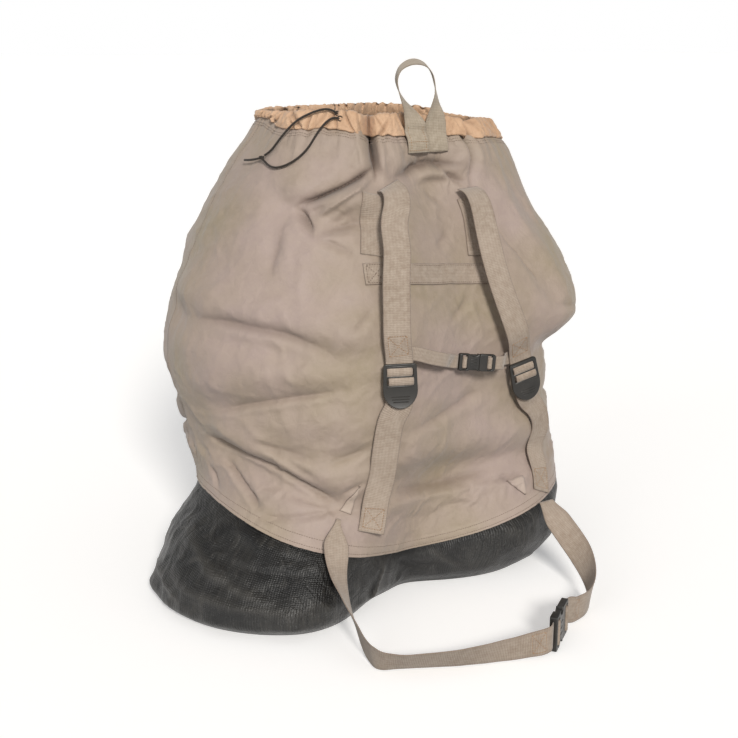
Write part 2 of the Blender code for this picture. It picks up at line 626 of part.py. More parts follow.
def make_lock(name, place, parts):
    """A ladder adjuster: a frame with two windows and a rounded lifting tab below."""
    half = LOCK_WIDTH * 0.5
    top = LOCK_LENGTH * 0.5
    shoulder = (half - LOCK_CORNER, top - LOCK_CORNER)
    outline = arc(shoulder, (LOCK_CORNER, LOCK_CORNER), 0, 90, 3)
    outline += arc((-shoulder[0], shoulder[1]), (LOCK_CORNER, LOCK_CORNER), 90, 180, 3)
    outline += arc((0.0, -LOCK_TAB_DROP), (half + LOCK_TAB_FLARE, top - LOCK_TAB_DROP), 180, 360, 14)
    windows = [rectangle(middle_y, LOCK_WINDOW_SIZE) for middle_y in LOCK_WINDOWS]
    return flat_curve(name, [outline] + windows, LOCK_THICKNESS, placing(*place), "moulded_plastic", parts)


def rounded_block(name, size, middle, matrix, parts):
    """A moulded half of a buckle, with its edges rounded."""
    bpy.ops.mesh.primitive_cube_add(size=1.0)
    thing = bpy.context.active_object
    thing.name = name
    thing.data.name = name
    thing.data.transform(Matrix.Translation(middle) @ Matrix.Diagonal((*size, 1.0)))
    thing.matrix_world = matrix
    for collection in list(thing.users_collection):
        collection.objects.unlink(thing)
    parts.objects.link(thing)
    thing.data.materials.append(new_material(name, "moulded_plastic"))
    rounding = thing.modifiers.new("edges", "BEVEL")
    rounding.width = BUCKLE_EDGE
    rounding.segments = 2
    return thing


def make_buckle(name, size, matrix, parts):
    """A fastened side-release buckle: socket at -X, plug at +X."""
    length, width, thickness = size
    socket = length * BUCKLE_SPLIT
    plug = length - socket - GAP
    rounded_block(name + "_socket", (socket, width, thickness),
                  ((socket - length) * 0.5, 0.0, 0.0), matrix, parts)
    rounded_block(name + "_plug", (plug, width, thickness),
                  ((length - plug) * 0.5, 0.0, 0.0), matrix, parts)


def make_tab(name, corners, tree, parts):
    """A three-cornered cloth tab that lies on the sack."""
    tip, low_left, low_right = [off_skin(*corner, 0.0) for corner in corners]
    rows = []
    for share in TAB_ROWS:
        row = [tip.lerp(low_left.lerp(low_right, side), share) for side in (0.0, 0.5, 1.0)]
        rows.append([tree.find_nearest(spot)[0] for spot in row])
    settle(rows, tree, SEAT_CLEARANCE)
    return ribbon(name, rows, WEBBING_THICKNESS, -1.0, "coated_cloth", parts)


def rest_on(spot, trees, clearance, snap):
    """Moves a spot clear of the pieces, and down onto them where it rests."""
    for tree in trees:
        nearest, facing, _, _ = tree.find_nearest(spot)
        away = (spot - nearest).dot(facing)
        if away < clearance or (snap and away < CORD_SNAP * clearance):
            spot = spot + facing * (clearance - away)
    return spot


def cord(name, route, standoffs, trees, parts):
    """A strand of round cord on a smooth curve through its route, ends left where they are."""
    steps = np.linalg.norm(np.diff(route, axis=0), axis=1)
    travel = np.concatenate([[0.0], np.cumsum(steps)])
    count = max(2, round(travel[-1] / (CORD_RADIUS * CORD_STEP)))
    wanted = np.linspace(0.0, travel[-1], count + 1)
    points = [Vector(point) for point in smooth_between(travel, np.array(route), wanted)]
    heights = np.interp(wanted, travel, standoffs)
    for k in range(1, count):
        points[k] = rest_on(points[k], trees, CORD_RADIUS + SEAT_CLEARANCE, heights[k] < CORD_RESTS_BELOW)
    curve = bpy.data.curves.new(name, "CURVE")
    curve.dimensions = "3D"
    curve.bevel_depth = CORD_RADIUS
    curve.bevel_resolution = 2
    curve.use_fill_caps = True
    spline = curve.splines.new("POLY")
    spline.points.add(count)
    for point, place in zip(spline.points, points):
        point.co = (*place, 1.0)
    return add_object(name, curve, "cord", parts)


def out_of(collar_tree, place):
    """Two points that lead a cord straight out of the drawstring channel."""
    nearest, facing, _, _ = collar_tree.find_nearest(off_skin(*place, 0.0))
    return [nearest + facing * EXIT_GAP, nearest + facing * EXIT_LENGTH]


def make_cords(trees, parts):
    """Two strands from the channel to the knot, and the loose tail beyond it."""
    knot = off_skin(*KNOT)
    routes = {"drawcord_upper": (EXIT_UPPER, CORD_UPPER), "drawcord_lower": (EXIT_LOWER, CORD_LOWER)}
    for name, (way_out, places) in routes.items():
        route = out_of(trees[1], way_out) + [off_skin(*place) for place in places]
        standoffs = [EXIT_LENGTH, EXIT_LENGTH] + [place.standoff for place in places]
        route.append(knot + (route[-1] - knot).normalized() * (KNOT_RADIUS + GAP))
        cord(name, route, standoffs + [places[-1].standoff], trees, parts)
    tail = [off_skin(*place) for place in CORD_TAIL]
    start = knot + (tail[0] - knot).normalized() * (KNOT_RADIUS + GAP)
    standoffs = [place.standoff for place in CORD_TAIL]
    cord("drawcord_tail", [start] + tail, standoffs[:1] + standoffs, trees, parts)
    make_knot(parts)


def make_knot(parts):
    mesh = bpy.data.meshes.new("drawcord_knot")
    ball = bmesh.new()
    bmesh.ops.create_uvsphere(ball, u_segments=10, v_segments=6, radius=KNOT_RADIUS)
    ball.to_mesh(mesh)
    ball.free()
    thing = add_object("drawcord_knot", mesh, "cord", parts)
    thing.location = off_skin(*KNOT)
    return thing


def main():
    clear_scene()
    parts = bpy.data.collections.new(COLLECTION)
    bpy.context.scene.collection.children.link(parts)
    sack = make_sack_body(parts)
    make_mesh_bottom(parts)
    collar = make_collar(parts)
    tree = outer_tree(sack)
    sewn_band("upper_band", UPPER_BAND, UPPER_BAND_WIDTH, tree, "webbing", parts)
    sewn_band("inner_strap_left", INNER_LEFT, WEBBING_WIDTH, tree, "webbing", parts)
    sewn_band("inner_strap_right", INNER_RIGHT, WEBBING_WIDTH, tree, "webbing", parts)
    for side, lock, shoulder, lower in (("left", LOCK_LEFT, SHOULDER_LEFT, LOWER_LEFT),
                                        ("right", LOCK_RIGHT, SHOULDER_RIGHT, LOWER_RIGHT)):
        behind_lock = LOCK_THICKNESS * 0.5 + STRAP_CLEARANCE
        upper_end = behind(lock, LOCK_UPPER_SPOTS, behind_lock)
        lower_end = behind(lock, LOCK_LOWER_SPOTS, behind_lock)
        hung_strap(f"shoulder_strap_{side}", on_sack(shoulder) + upper_end,
                   WEBBING_WIDTH, tree, "webbing", parts)
        hung_strap(f"lower_strap_{side}", lower_end + on_sack(lower),
                   WEBBING_WIDTH, tree, "webbing", parts)
        make_lock(f"ladder_lock_{side}", lock, parts)
    behind_strap = LOCK_THICKNESS * 0.5 + 2.0 * STRAP_CLEARANCE + WEBBING_THICKNESS * 0.5
    buckle_end = STERNUM_BUCKLE_SIZE[0] * 0.5 + 2.0 * GAP
    beside_buckle = (buckle_end, buckle_end + STERNUM_STRAIGHT)
    hung_strap("sternum_strap_left",
               behind(LOCK_LEFT, CROSSING_LEFT_SPOTS, behind_strap) + on_sack(STERNUM_LEFT)
               + behind(STERNUM_BUCKLE, [(-reach, 0.0) for reach in beside_buckle[::-1]], 0.0),
               STERNUM_WIDTH, tree, "webbing", parts)
    hung_strap("sternum_strap_right",
               behind(STERNUM_BUCKLE, [(reach, 0.0) for reach in beside_buckle], 0.0)
               + behind(LOCK_RIGHT, CROSSING_RIGHT_SPOTS, behind_strap),
               STERNUM_WIDTH, tree, "webbing", parts)
    make_buckle("sternum_buckle", STERNUM_BUCKLE_SIZE, placing(*STERNUM_BUCKLE), parts)
    upright = Matrix.Rotation(math.radians(BELT_BUCKLE_TURN), 4, "Z") @ Matrix.Rotation(math.pi / 2, 4, "X")
    belt_buckle = Matrix.Translation(BELT_BUCKLE) @ upright
    make_buckle("belt_buckle", BELT_BUCKLE_SIZE, belt_buckle, parts)
    make_belt("belt_left", BELT_LEFT, -1, belt_buckle, tree, parts)
    make_belt("belt_right", BELT_RIGHT, 1, belt_buckle, tree, parts)
    trees = (tree, outer_tree(collar))
    make_handle(trees, parts)
    make_tab("belt_tab_left", TAB_LEFT, tree, parts)
    make_tab("belt_tab_right", TAB_RIGHT, tree, parts)
    make_cords(trees, parts)


main()
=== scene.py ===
# Decoy bag, the looks: coated cloth, mesh, webbing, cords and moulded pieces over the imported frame.
# Metres, +Z up, floor at z = 0. X = 0 lies between the shoulder straps and -Y is the strap side.
# Angles go round the sack seen from above: 0 right, 90 back, 180 left, 270 front.

import math

import bpy
import numpy as np
from mathutils import Matrix, Vector, noise
from mathutils.bvhtree import BVHTree


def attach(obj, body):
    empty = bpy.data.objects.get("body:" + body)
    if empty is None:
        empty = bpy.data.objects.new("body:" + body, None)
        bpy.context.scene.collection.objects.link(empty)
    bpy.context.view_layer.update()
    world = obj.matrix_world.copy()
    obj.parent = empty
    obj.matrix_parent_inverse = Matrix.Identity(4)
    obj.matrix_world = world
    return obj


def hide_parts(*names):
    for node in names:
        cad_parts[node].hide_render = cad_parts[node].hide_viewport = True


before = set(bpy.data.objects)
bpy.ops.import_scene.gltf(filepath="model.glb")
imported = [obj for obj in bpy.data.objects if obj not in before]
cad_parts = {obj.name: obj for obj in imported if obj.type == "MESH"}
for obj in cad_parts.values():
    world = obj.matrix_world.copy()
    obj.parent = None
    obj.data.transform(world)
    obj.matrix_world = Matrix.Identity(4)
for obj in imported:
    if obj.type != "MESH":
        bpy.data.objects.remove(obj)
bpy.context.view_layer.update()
rng = np.random.default_rng(11)
print("scene: frame loaded")

# Camera

view = {"place": (-1.108, -1.537, 0.79), "down": 15.0, "turn": -35.0, "lens": 60.0, "sensor": 36.0}


def addCamera():
    data = bpy.data.cameras.new("camera")
    data.lens, data.sensor_width = view["lens"], view["sensor"]
    camera = bpy.data.objects.new("camera", data)
    camera.location = view["place"]
    camera.rotation_euler = (math.radians(90.0 - view["down"]), 0.0, math.radians(view["turn"]))
    bpy.context.collection.objects.link(camera)
    bpy.context.scene.camera = camera


addCamera()

# Meshes from rows of points


# Links a finished mesh or curve, hangs it on the body and hides the parts of the frame that it stands for.
def addPiece(name, data, material, slot, *nodes):
    thing = bpy.data.objects.new(name, data)
    bpy.context.collection.objects.link(thing)
    data.materials.append(material)
    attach(thing, "root")
    if nodes:
        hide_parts(*nodes)
    return thing


def gridFaces(rows, columns, wrap, start=0):
    i, j = np.meshgrid(np.arange(rows - 1), np.arange(columns if wrap else columns - 1), indexing="ij")
    k = (j + 1) % columns
    corners = np.stack([i * columns + j, i * columns + k, (i + 1) * columns + k, (i + 1) * columns + j], -1)
    return corners.reshape(-1, 4) + start


# One mesh from parts: dictionaries with points (rows, columns, 3), wrap, and maybe uv, tone, caps.
def meshFrom(name, parts, smooth=True):
    verts, faces, uvs, tones = [], [], [], []
    start = 0
    for part in parts:
        points = np.asarray(part["points"], float)
        rows, columns = points.shape[:2]
        wrap = part.get("wrap", False)
        quads = gridFaces(rows, columns, wrap, start)
        if part.get("flip"):
            quads = quads[:, ::-1]
        verts.append(points.reshape(-1, 3))
        faces += quads.tolist()
        uv = part.get("uv")
        if uv is None:
            uv = np.zeros((rows, columns + wrap, 2))
        i, j = np.meshgrid(np.arange(rows - 1), np.arange(columns if wrap else columns - 1), indexing="ij")
        loop = np.stack([uv[i, j], uv[i, j + 1], uv[i + 1, j + 1], uv[i + 1, j]], 2).reshape(-1, 4, 2)
        if part.get("flip"):
            loop = loop[:, ::-1]
        uvs.append(loop.reshape(-1, 2))
        tone = part.get("tone")
        tones.append(np.zeros(rows * columns) if tone is None else np.asarray(tone, float).reshape(-1))
        for row in part.get("caps", ()):
            ring = [start + (row % rows) * columns + c for c in range(columns)]
            faces.append(ring if row else ring[::-1])
            uvs.append(np.array([uv[row, c] for c in range(columns)]))
        start += rows * columns
    mesh = bpy.data.meshes.new(name)
    mesh.from_pydata(np.concatenate(verts).tolist(), [], faces)
    layer = mesh.uv_layers.new(name="cut")
    layer.data.foreach_set("uv", np.concatenate(uvs).reshape(-1))
    shade = mesh.attributes.new("tone", "FLOAT", "POINT")
    shade.data.foreach_set("value", np.concatenate(tones))
    if smooth:
        mesh.shade_smooth()
    mesh.validate()
    return mesh


def treeOf(mesh):
    points = [v.co.copy() for v in mesh.vertices]
    return BVHTree.FromPolygons(points, [list(p.vertices) for p in mesh.polygons])


def unit(vectors):
    return vectors / np.maximum(np.linalg.norm(vectors, axis=-1, keepdims=True), 1e-9)


# Values of each column at the wanted places, on a smooth curve through the rows.
def smoothBetween(places, rows, wanted):
    step = np.diff(places)
    slope = np.diff(rows, axis=0) / step[:, None]
    tangent = np.empty_like(rows)
    tangent[0], tangent[-1] = slope[0], slope[-1]
    before, after = step[:-1, None], step[1:, None]
    tangent[1:-1] = (slope[:-1] * after + slope[1:] * before) / (before + after)
    index = np.clip(np.searchsorted(places, wanted, side="right") - 1, 0, len(step) - 1)
    span = step[index][:, None]
    t = (wanted - places[index])[:, None] / span
    return ((1 + 2 * t) * (1 - t) ** 2 * rows[index] + t * (1 - t) ** 2 * span * tangent[index]
            + t * t * (3 - 2 * t) * rows[index + 1] + t * t * (t - 1) * span * tangent[index + 1])


# Points every step along a smooth curve through the given points.
def alongPath(points, step):
    points = np.asarray(points, float)
    travel = np.concatenate([[0.0], np.cumsum(np.linalg.norm(np.diff(points, axis=0), axis=1))])
    count = max(2, round(travel[-1] / step))
    return smoothBetween(travel, points, np.linspace(0.0, travel[-1], count + 1))


# Rings of a round tube along a path, radius a number or one for each point.
def tube(path, radius, sides=8, closed=False, step=None):
    path = alongPath(path, step) if step else np.asarray(path, float)
    radius = np.broadcast_to(np.asarray(radius, float), (len(path),))
    if closed:
        ahead = unit(np.roll(path, -1, axis=0) - np.roll(path, 1, axis=0))
    else:
        ahead = unit(np.gradient(path, axis=0))
    side = np.cross(ahead[0], (0.0, 0.0, 1.0))
    if np.linalg.norm(side) < 0.1:
        side = np.cross(ahead[0], (0.0, 1.0, 0.0))
    rings = []
    turn = np.linspace(0.0, 2 * math.pi, sides, endpoint=False)
    for place, way, r in zip(path, ahead, radius):
        side = unit(side - way * np.dot(side, way))
        up = np.cross(way, side)
        rings.append(place + r * (np.cos(turn)[:, None] * side + np.sin(turn)[:, None] * up))
    if closed:
        rings.append(rings[0])
    return np.array(rings)


# Materials


# Adds a shader node; sockets take a value or another node's socket.
def put(tree, kind, inputs=None, **settings):
    node = tree.nodes.new(kind)
    for key, value in settings.items():
        setattr(node, key, value)
    for key, value in (inputs or {}).items():
        if isinstance(value, bpy.types.NodeSocket):
            tree.links.new(value, node.inputs[key])
        else:
            node.inputs[key].default_value = value
    return node


def newMaterial(name, roughness, specular=0.4, sheen=0.0):
    material = bpy.data.materials.new(name)
    material.use_nodes = True
    tree = material.node_tree
    shader = tree.nodes["Principled BSDF"]
    shader.inputs["Roughness"].default_value = roughness
    shader.inputs["Specular IOR Level"].default_value = specular
    shader.inputs["Sheen Weight"].default_value = sheen
    return material, tree, shader


# Mixes two colours by an amount that is a number or a socket.
def mixColour(tree, amount, first, second, blend="MIX"):
    node = put(tree, "ShaderNodeMix", data_type="RGBA", blend_type=blend)
    for socket, value in ((node.inputs[0], amount), (node.inputs[6], first), (node.inputs[7], second)):
        if isinstance(value, bpy.types.NodeSocket):
            tree.links.new(value, socket)
        else:
            socket.default_value = value
    return node.outputs[2]


def ranged(tree, value, low, high, toLow=0.0, toHigh=1.0):
    node = put(tree, "ShaderNodeMapRange", {"Value": value, "From Min": low, "From Max": high,
                                            "To Min": toLow, "To Max": toHigh})
    return node.outputs["Result"]


def sums(tree, operation, first, second=0.0):
    node = put(tree, "ShaderNodeMath", operation=operation)
    for socket, value in zip(node.inputs, (first, second)):
        if isinstance(value, bpy.types.NodeSocket):
            tree.links.new(value, socket)
        else:
            socket.default_value = value
    return node.outputs[0]


# Linear colour from a hex one, as a paint chart gives it.
def rgb(hexColour):
    parts = [int(hexColour[i:i + 2], 16) / 255.0 for i in (0, 2, 4)]
    return (*[c / 12.92 if c <= 0.04045 else ((c + 0.055) / 1.055) ** 2.4 for c in parts], 1.0)


# Woven coated cloth: fine threads, soft crinkles, uneven dye, a paler hem, painted shade in folds and painted
# highlights beside them.
def clothMaterial(look):
    material, tree, shader = newMaterial(look["name"], look["roughness"], look["specular"], look["sheen"])
    cut = put(tree, "ShaderNodeTexCoord").outputs["UV"]
    place = put(tree, "ShaderNodeTexCoord").outputs["Object"]
    pitch = 2 * math.pi / (20.0 * look["thread"])
    warp = put(tree, "ShaderNodeTexWave", {"Vector": cut, "Scale": pitch, "Distortion": 0.6,
                                           "Detail": 1.0}, bands_direction="X").outputs["Fac"]
    weft = put(tree, "ShaderNodeTexWave", {"Vector": cut, "Scale": pitch, "Distortion": 0.6,
                                           "Detail": 1.0}, bands_direction="Y").outputs["Fac"]
    weave = sums(tree, "MULTIPLY", warp, weft)
    crinkle = put(tree, "ShaderNodeTexNoise", {"Vector": place, "Scale": look["crinkle"], "Detail": 5.0,
                                               "Roughness": 0.55, "Distortion": 0.5}).outputs["Fac"]
    broad = put(tree, "ShaderNodeTexNoise", {"Vector": place, "Scale": 6.0, "Detail": 3.0}).outputs["Fac"]
    mottle = put(tree, "ShaderNodeTexNoise", {"Vector": place, "Scale": 90.0, "Detail": 4.0}).outputs["Fac"]
    colour = mixColour(tree, ranged(tree, broad, 0.35, 0.65), rgb(look["shade"]), rgb(look["colour"]))
    colour = mixColour(tree, ranged(tree, mottle, 0.3, 0.7, 0.0, 0.35), colour, rgb(look["fleck"]))
    colour = mixColour(tree, ranged(tree, weave, 0.0, 1.0, 0.10, 0.0), colour, rgb(look["shade"]))
    # The tone attribute paints light into the colour. Above nought it gives painted highlights beside creases
    # and a paler hem; below nought it gives painted shade in creases, slits, puckers, tab edges and insides.
    tone = put(tree, "ShaderNodeAttribute", attribute_name="tone").outputs["Fac"]
    colour = mixColour(tree, ranged(tree, tone, 0.0, 1.0, 0.0, 0.55), colour, rgb(look["pale"]))
    colour = mixColour(tree, ranged(tree, tone, 0.0, -1.0, 0.0, 0.85), colour, rgb(look["paintedShade"]))
    tree.links.new(colour, shader.inputs["Base Color"])
    soft = put(tree, "ShaderNodeBump", {"Height": crinkle, "Distance": look["crinkleDepth"],
                                        "Strength": look["crinkleStrength"]})
    fine = put(tree, "ShaderNodeBump", {"Height": weave, "Distance": 0.00022, "Strength": 0.5,
                                        "Normal": soft.outputs["Normal"]})
    tree.links.new(fine.outputs["Normal"], shader.inputs["Normal"])
    tree.links.new(ranged(tree, mottle, 0.3, 0.7, look["roughness"] - 0.08, look["roughness"] + 0.08),
                   shader.inputs["Roughness"])
    return material


# Webbing: fine picks across it in faint lengthwise ribs, with darker rolled edges.
def webbingMaterial(look):
    material, tree, shader = newMaterial(look["name"], look["roughness"], 0.3, 0.25)
    cut = put(tree, "ShaderNodeTexCoord").outputs["UV"]
    place = put(tree, "ShaderNodeTexCoord").outputs["Object"]
    ribs = put(tree, "ShaderNodeTexWave", {"Vector": cut, "Scale": 2 * math.pi / (20.0 * look["rib"]),
                                           "Distortion": 0.4}, bands_direction="X").outputs["Fac"]
    picks = put(tree, "ShaderNodeTexWave", {"Vector": cut, "Scale": 2 * math.pi / (20.0 * look["pick"]),
                                            "Distortion": 1.6, "Detail": 2.0, "Detail Scale": 3.0},
                bands_direction="Y").outputs["Fac"]
    cover = sums(tree, "ADD", sums(tree, "MULTIPLY", ribs, 0.35), picks)
    mottle = put(tree, "ShaderNodeTexNoise", {"Vector": place, "Scale": 130.0, "Detail": 5.0,
                                              "Roughness": 0.65}).outputs["Fac"]
    broad = put(tree, "ShaderNodeTexNoise", {"Vector": place, "Scale": 14.0, "Detail": 2.0}).outputs["Fac"]
    colour = mixColour(tree, ranged(tree, broad, 0.35, 0.65), rgb(look["shade"]), rgb(look["colour"]))
    colour = mixColour(tree, ranged(tree, mottle, 0.35, 0.65, 0.0, 0.7), colour, rgb(look["fleck"]))
    colour = mixColour(tree, ranged(tree, cover, 0.1, 1.1, 0.36, 0.0), colour, rgb(look["gap"]))
    tone = put(tree, "ShaderNodeAttribute", attribute_name="tone").outputs["Fac"]
    colour = mixColour(tree, ranged(tree, tone, 0.0, -1.0, 0.0, 0.6), colour, rgb(look["gap"]))
    tree.links.new(colour, shader.inputs["Base Color"])
    bump = put(tree, "ShaderNodeBump", {"Height": cover, "Distance": 0.0005, "Strength": 0.55})
    tree.links.new(bump.outputs["Normal"], shader.inputs["Normal"])
    return material


# Dark knitted mesh: small holes in rows, faint ladders up the fabric, painted sheen and highlights, and a
# soft sheen on its lumps.
def knitMaterial(look):
    material, tree, shader = newMaterial(look["name"], look["roughness"], 0.50, 0.08)
    shader.inputs["Sheen Roughness"].default_value = 0.35
    cut = put(tree, "ShaderNodeTexCoord").outputs["UV"]
    place = put(tree, "ShaderNodeTexCoord").outputs["Object"]
    across = put(tree, "ShaderNodeTexWave", {"Vector": cut, "Scale": 2 * math.pi / (20.0 * look["ladder"]),
                                             "Distortion": 1.0, "Detail": 1.0},
                                             bands_direction="X").outputs["Fac"]
    upward = put(tree, "ShaderNodeTexWave", {"Vector": cut, "Scale": 2 * math.pi / (20.0 * look["course"]),
                                             "Distortion": 1.0, "Detail": 1.0},
                                             bands_direction="Y").outputs["Fac"]
    holes = sums(tree, "MULTIPLY", across, upward)
    stretched = put(tree, "ShaderNodeMapping", {"Vector": cut, "Scale": (330.0, 26.0, 1.0)}).outputs["Vector"]
    streaks = put(tree, "ShaderNodeTexNoise", {"Vector": stretched, "Scale": 1.0, "Detail": 4.0,
                                               "Roughness": 0.6}).outputs["Fac"]
    patches = put(tree, "ShaderNodeTexNoise", {"Vector": place, "Scale": 9.0, "Detail": 5.0,
                                               "Roughness": 0.6, "Distortion": 1.2}).outputs["Fac"]
    crumple = put(tree, "ShaderNodeTexNoise", {"Vector": place, "Scale": 34.0, "Detail": 5.0,
                                               "Roughness": 0.6, "Distortion": 1.4}).outputs["Fac"]
    colour = mixColour(tree, ranged(tree, patches, 0.40, 0.62), rgb(look["dark"]), rgb(look["colour"]))
    # Painted sheen: pale streaks up the knit where the broad patches come, and pale spots on the crumple tops
    # as painted highlights.
    streaked = ranged(tree, streaks, 0.40, 0.78, 0.0, 0.55)
    lit = sums(tree, "MULTIPLY", streaked, ranged(tree, patches, 0.42, 0.60))
    colour = mixColour(tree, lit, colour, rgb(look["paintedSheen"]))
    colour = mixColour(tree, ranged(tree, crumple, 0.55, 0.72, 0.0, 0.4), colour, rgb(look["paintedSheen"]))
    colour = mixColour(tree, ranged(tree, holes, 0.40, 0.85, 0.0, 0.8), colour, rgb(look["hole"]))
    # Tone paints a highlight along the mesh's standing ridges.
    tone = put(tree, "ShaderNodeAttribute", attribute_name="tone").outputs["Fac"]
    colour = mixColour(tree, ranged(tree, tone, 0.0, 1.0, 0.0, 0.85), colour, rgb(look["paintedSheen"]))
    tree.links.new(colour, shader.inputs["Base Color"])
    soft = put(tree, "ShaderNodeBump", {"Height": crumple, "Distance": 0.007, "Strength": 0.6})
    fine = put(tree, "ShaderNodeBump", {"Height": holes, "Distance": 0.0006, "Strength": 0.8,
                                        "Normal": soft.outputs["Normal"]}, invert=True)
    tree.links.new(fine.outputs["Normal"], shader.inputs["Normal"])
    return material


# Moulded plastic with a fine satin grain and rubbed patches.
def mouldedMaterial(look):
    material, tree, shader = newMaterial(look["name"], look["roughness"], 0.5)
    place = put(tree, "ShaderNodeTexCoord").outputs["Object"]
    grain = put(tree, "ShaderNodeTexNoise", {"Vector": place, "Scale": 900.0, "Detail": 3.0}).outputs["Fac"]
    rub = put(tree, "ShaderNodeTexNoise", {"Vector": place, "Scale": 70.0, "Detail": 4.0}).outputs["Fac"]
    colour = mixColour(tree, ranged(tree, rub, 0.4, 0.7), rgb(look["colour"]), rgb(look["rubbed"]))
    tree.links.new(colour, shader.inputs["Base Color"])
    tree.links.new(ranged(tree, rub, 0.3, 0.7, look["roughness"] + 0.1, look["roughness"] - 0.06),
                   shader.inputs["Roughness"])
    bump = put(tree, "ShaderNodeBump", {"Height": grain, "Distance": 0.0001, "Strength": 0.35})
    tree.links.new(bump.outputs["Normal"], shader.inputs["Normal"])
    return material


# Twisted thread or braided cord.
def threadMaterial(look):
    material, tree, shader = newMaterial(look["name"], look["roughness"], 0.35, 0.2)
    place = put(tree, "ShaderNodeTexCoord").outputs["Object"]
    twist = put(tree, "ShaderNodeTexWave", {"Vector": place, "Scale": look["twist"], "Distortion": 3.0,
                                            "Detail": 2.0}, bands_direction="DIAGONAL").outputs["Fac"]
    mottle = put(tree, "ShaderNodeTexNoise", {"Vector": place, "Scale": 400.0, "Detail": 3.0}).outputs["Fac"]
    colour = mixColour(tree, ranged(tree, twist, 0.2, 0.8), rgb(look["shade"]), rgb(look["colour"]))
    colour = mixColour(tree, ranged(tree, mottle, 0.4, 0.7, 0.0, 0.5), colour, rgb(look["shade"]))
    tree.links.new(colour, shader.inputs["Base Color"])
    bump = put(tree, "ShaderNodeBump", {"Height": twist, "Distance": 0.0004, "Strength": 0.6})
    tree.links.new(bump.outputs["Normal"], shader.inputs["Normal"])
    return material


sackLook = {"name": "coatedCloth", "colour": "A3918A", "shade": "94866F", "fleck": "B09F92", "pale": "C2B2A3",
            "paintedShade": "54443B", "roughness": 0.60, "specular": 0.42, "sheen": 0.18, "thread": 0.0012,
            "crinkle": 60.0, "crinkleDepth": 0.004, "crinkleStrength": 0.45}
collarLook = {"name": "collarCloth", "colour": "CFAB8C", "shade": "B8916F", "fleck": "DEBF9F",
              "pale": "EBD1B5",
              "paintedShade": "5A3C28", "roughness": 0.55, "specular": 0.45, "sheen": 0.2, "thread": 0.0010,
              "crinkle": 95.0, "crinkleDepth": 0.005, "crinkleStrength": 0.6}
webbingLook = {"name": "webbingWeave", "colour": "A79788", "shade": "988878", "fleck": "B6A899",
               "gap": "705F54",
               "roughness": 0.8, "rib": 0.0048, "pick": 0.0023}
handleLook = dict(webbingLook, name="handleWeave", colour="AB9D8A", shade="988B79", fleck="BCAF9D",
                  gap="776A5B")
knitLook = {"name": "knitMesh", "colour": "1E1D1B", "dark": "100F0E", "paintedSheen": "4E4B46", "hole": "080807",
            "roughness": 0.42, "ladder": 0.0030, "course": 0.0022}
mouldedLook = {"name": "mouldedBlack", "colour": "1C1A17", "rubbed": "292622", "roughness": 0.36}
cordLook = {"name": "braidedCord", "colour": "33291F", "shade": "1A140F", "roughness": 0.7, "twist": 160.0}
clothThreadLook = {"name": "clothThread", "colour": "8E7B6C", "shade": "6D5A4C", "roughness": 0.7,
                   "twist": 500.0}
strapThreadLook = {"name": "strapThread", "colour": "B58B62", "shade": "8F6A46", "roughness": 0.65,
                   "twist": 500.0}

cloth = clothMaterial(sackLook)
peach = clothMaterial(collarLook)
webbing = webbingMaterial(webbingLook)
handleWeb = webbingMaterial(handleLook)
knit = knitMaterial(knitLook)
moulded = mouldedMaterial(mouldedLook)
braid = threadMaterial(cordLook)
clothThread = threadMaterial(clothThreadLook)
strapThread = threadMaterial(strapThreadLook)
print("scene: materials made")

# Drawcord: two strands out of the collar, their knot and the loose tail

drawcord = {
    "radius": 0.0016,
    "step": 0.002,
    "knot": (-0.2214, -0.0053, 0.6280),
    "knotSize": 0.0017,
    "upper": [(-0.1317, -0.0651, 0.6889), (-0.1378, -0.0665, 0.6932), (-0.1410, -0.0600, 0.6966),
              (-0.1477, -0.0555, 0.6958), (-0.1549, -0.0528, 0.6941), (-0.1621, -0.0502, 0.6918),
              (-0.1690, -0.0476, 0.6889), (-0.1754, -0.0443, 0.6856), (-0.1813, -0.0405, 0.6818),
              (-0.1863, -0.0369, 0.6769), (-0.1906, -0.0333, 0.6712), (-0.1940, -0.0294, 0.6668),
              (-0.1985, -0.0263, 0.6595), (-0.2023, -0.0226, 0.6535), (-0.2061, -0.0191, 0.6475),
              (-0.2080, -0.0151, 0.6404), (-0.2123, -0.0114, 0.6348), (-0.2186, -0.0077, 0.6309)],
    "lower": [(-0.1334, -0.0735, 0.6820), (-0.1390, -0.0761, 0.6861), (-0.1436, -0.0693, 0.6847),
              (-0.1498, -0.0667, 0.6805), (-0.1554, -0.0659, 0.6750), (-0.1607, -0.0652, 0.6692),
              (-0.1658, -0.0643, 0.6632), (-0.1703, -0.0636, 0.6566), (-0.1736, -0.0618, 0.6491),
              (-0.1788, -0.0614, 0.6432), (-0.1843, -0.0605, 0.6375), (-0.1902, -0.0591, 0.6324),
              (-0.1963, -0.0570, 0.6277), (-0.2025, -0.0543, 0.6235), (-0.2086, -0.0505, 0.6203),
              (-0.2131, -0.0449, 0.6174), (-0.2168, -0.0382, 0.6157), (-0.2195, -0.0307, 0.6156),
              (-0.2207, -0.0231, 0.6176), (-0.2204, -0.0159, 0.6207), (-0.2215, -0.0094, 0.6255)],
    "tail": [(-0.2225, -0.0009, 0.6269), (-0.2250, 0.0069, 0.6242), (-0.2285, 0.0144, 0.6243),
             (-0.2290, 0.0224, 0.6222), (-0.2293, 0.0303, 0.6224)],
}


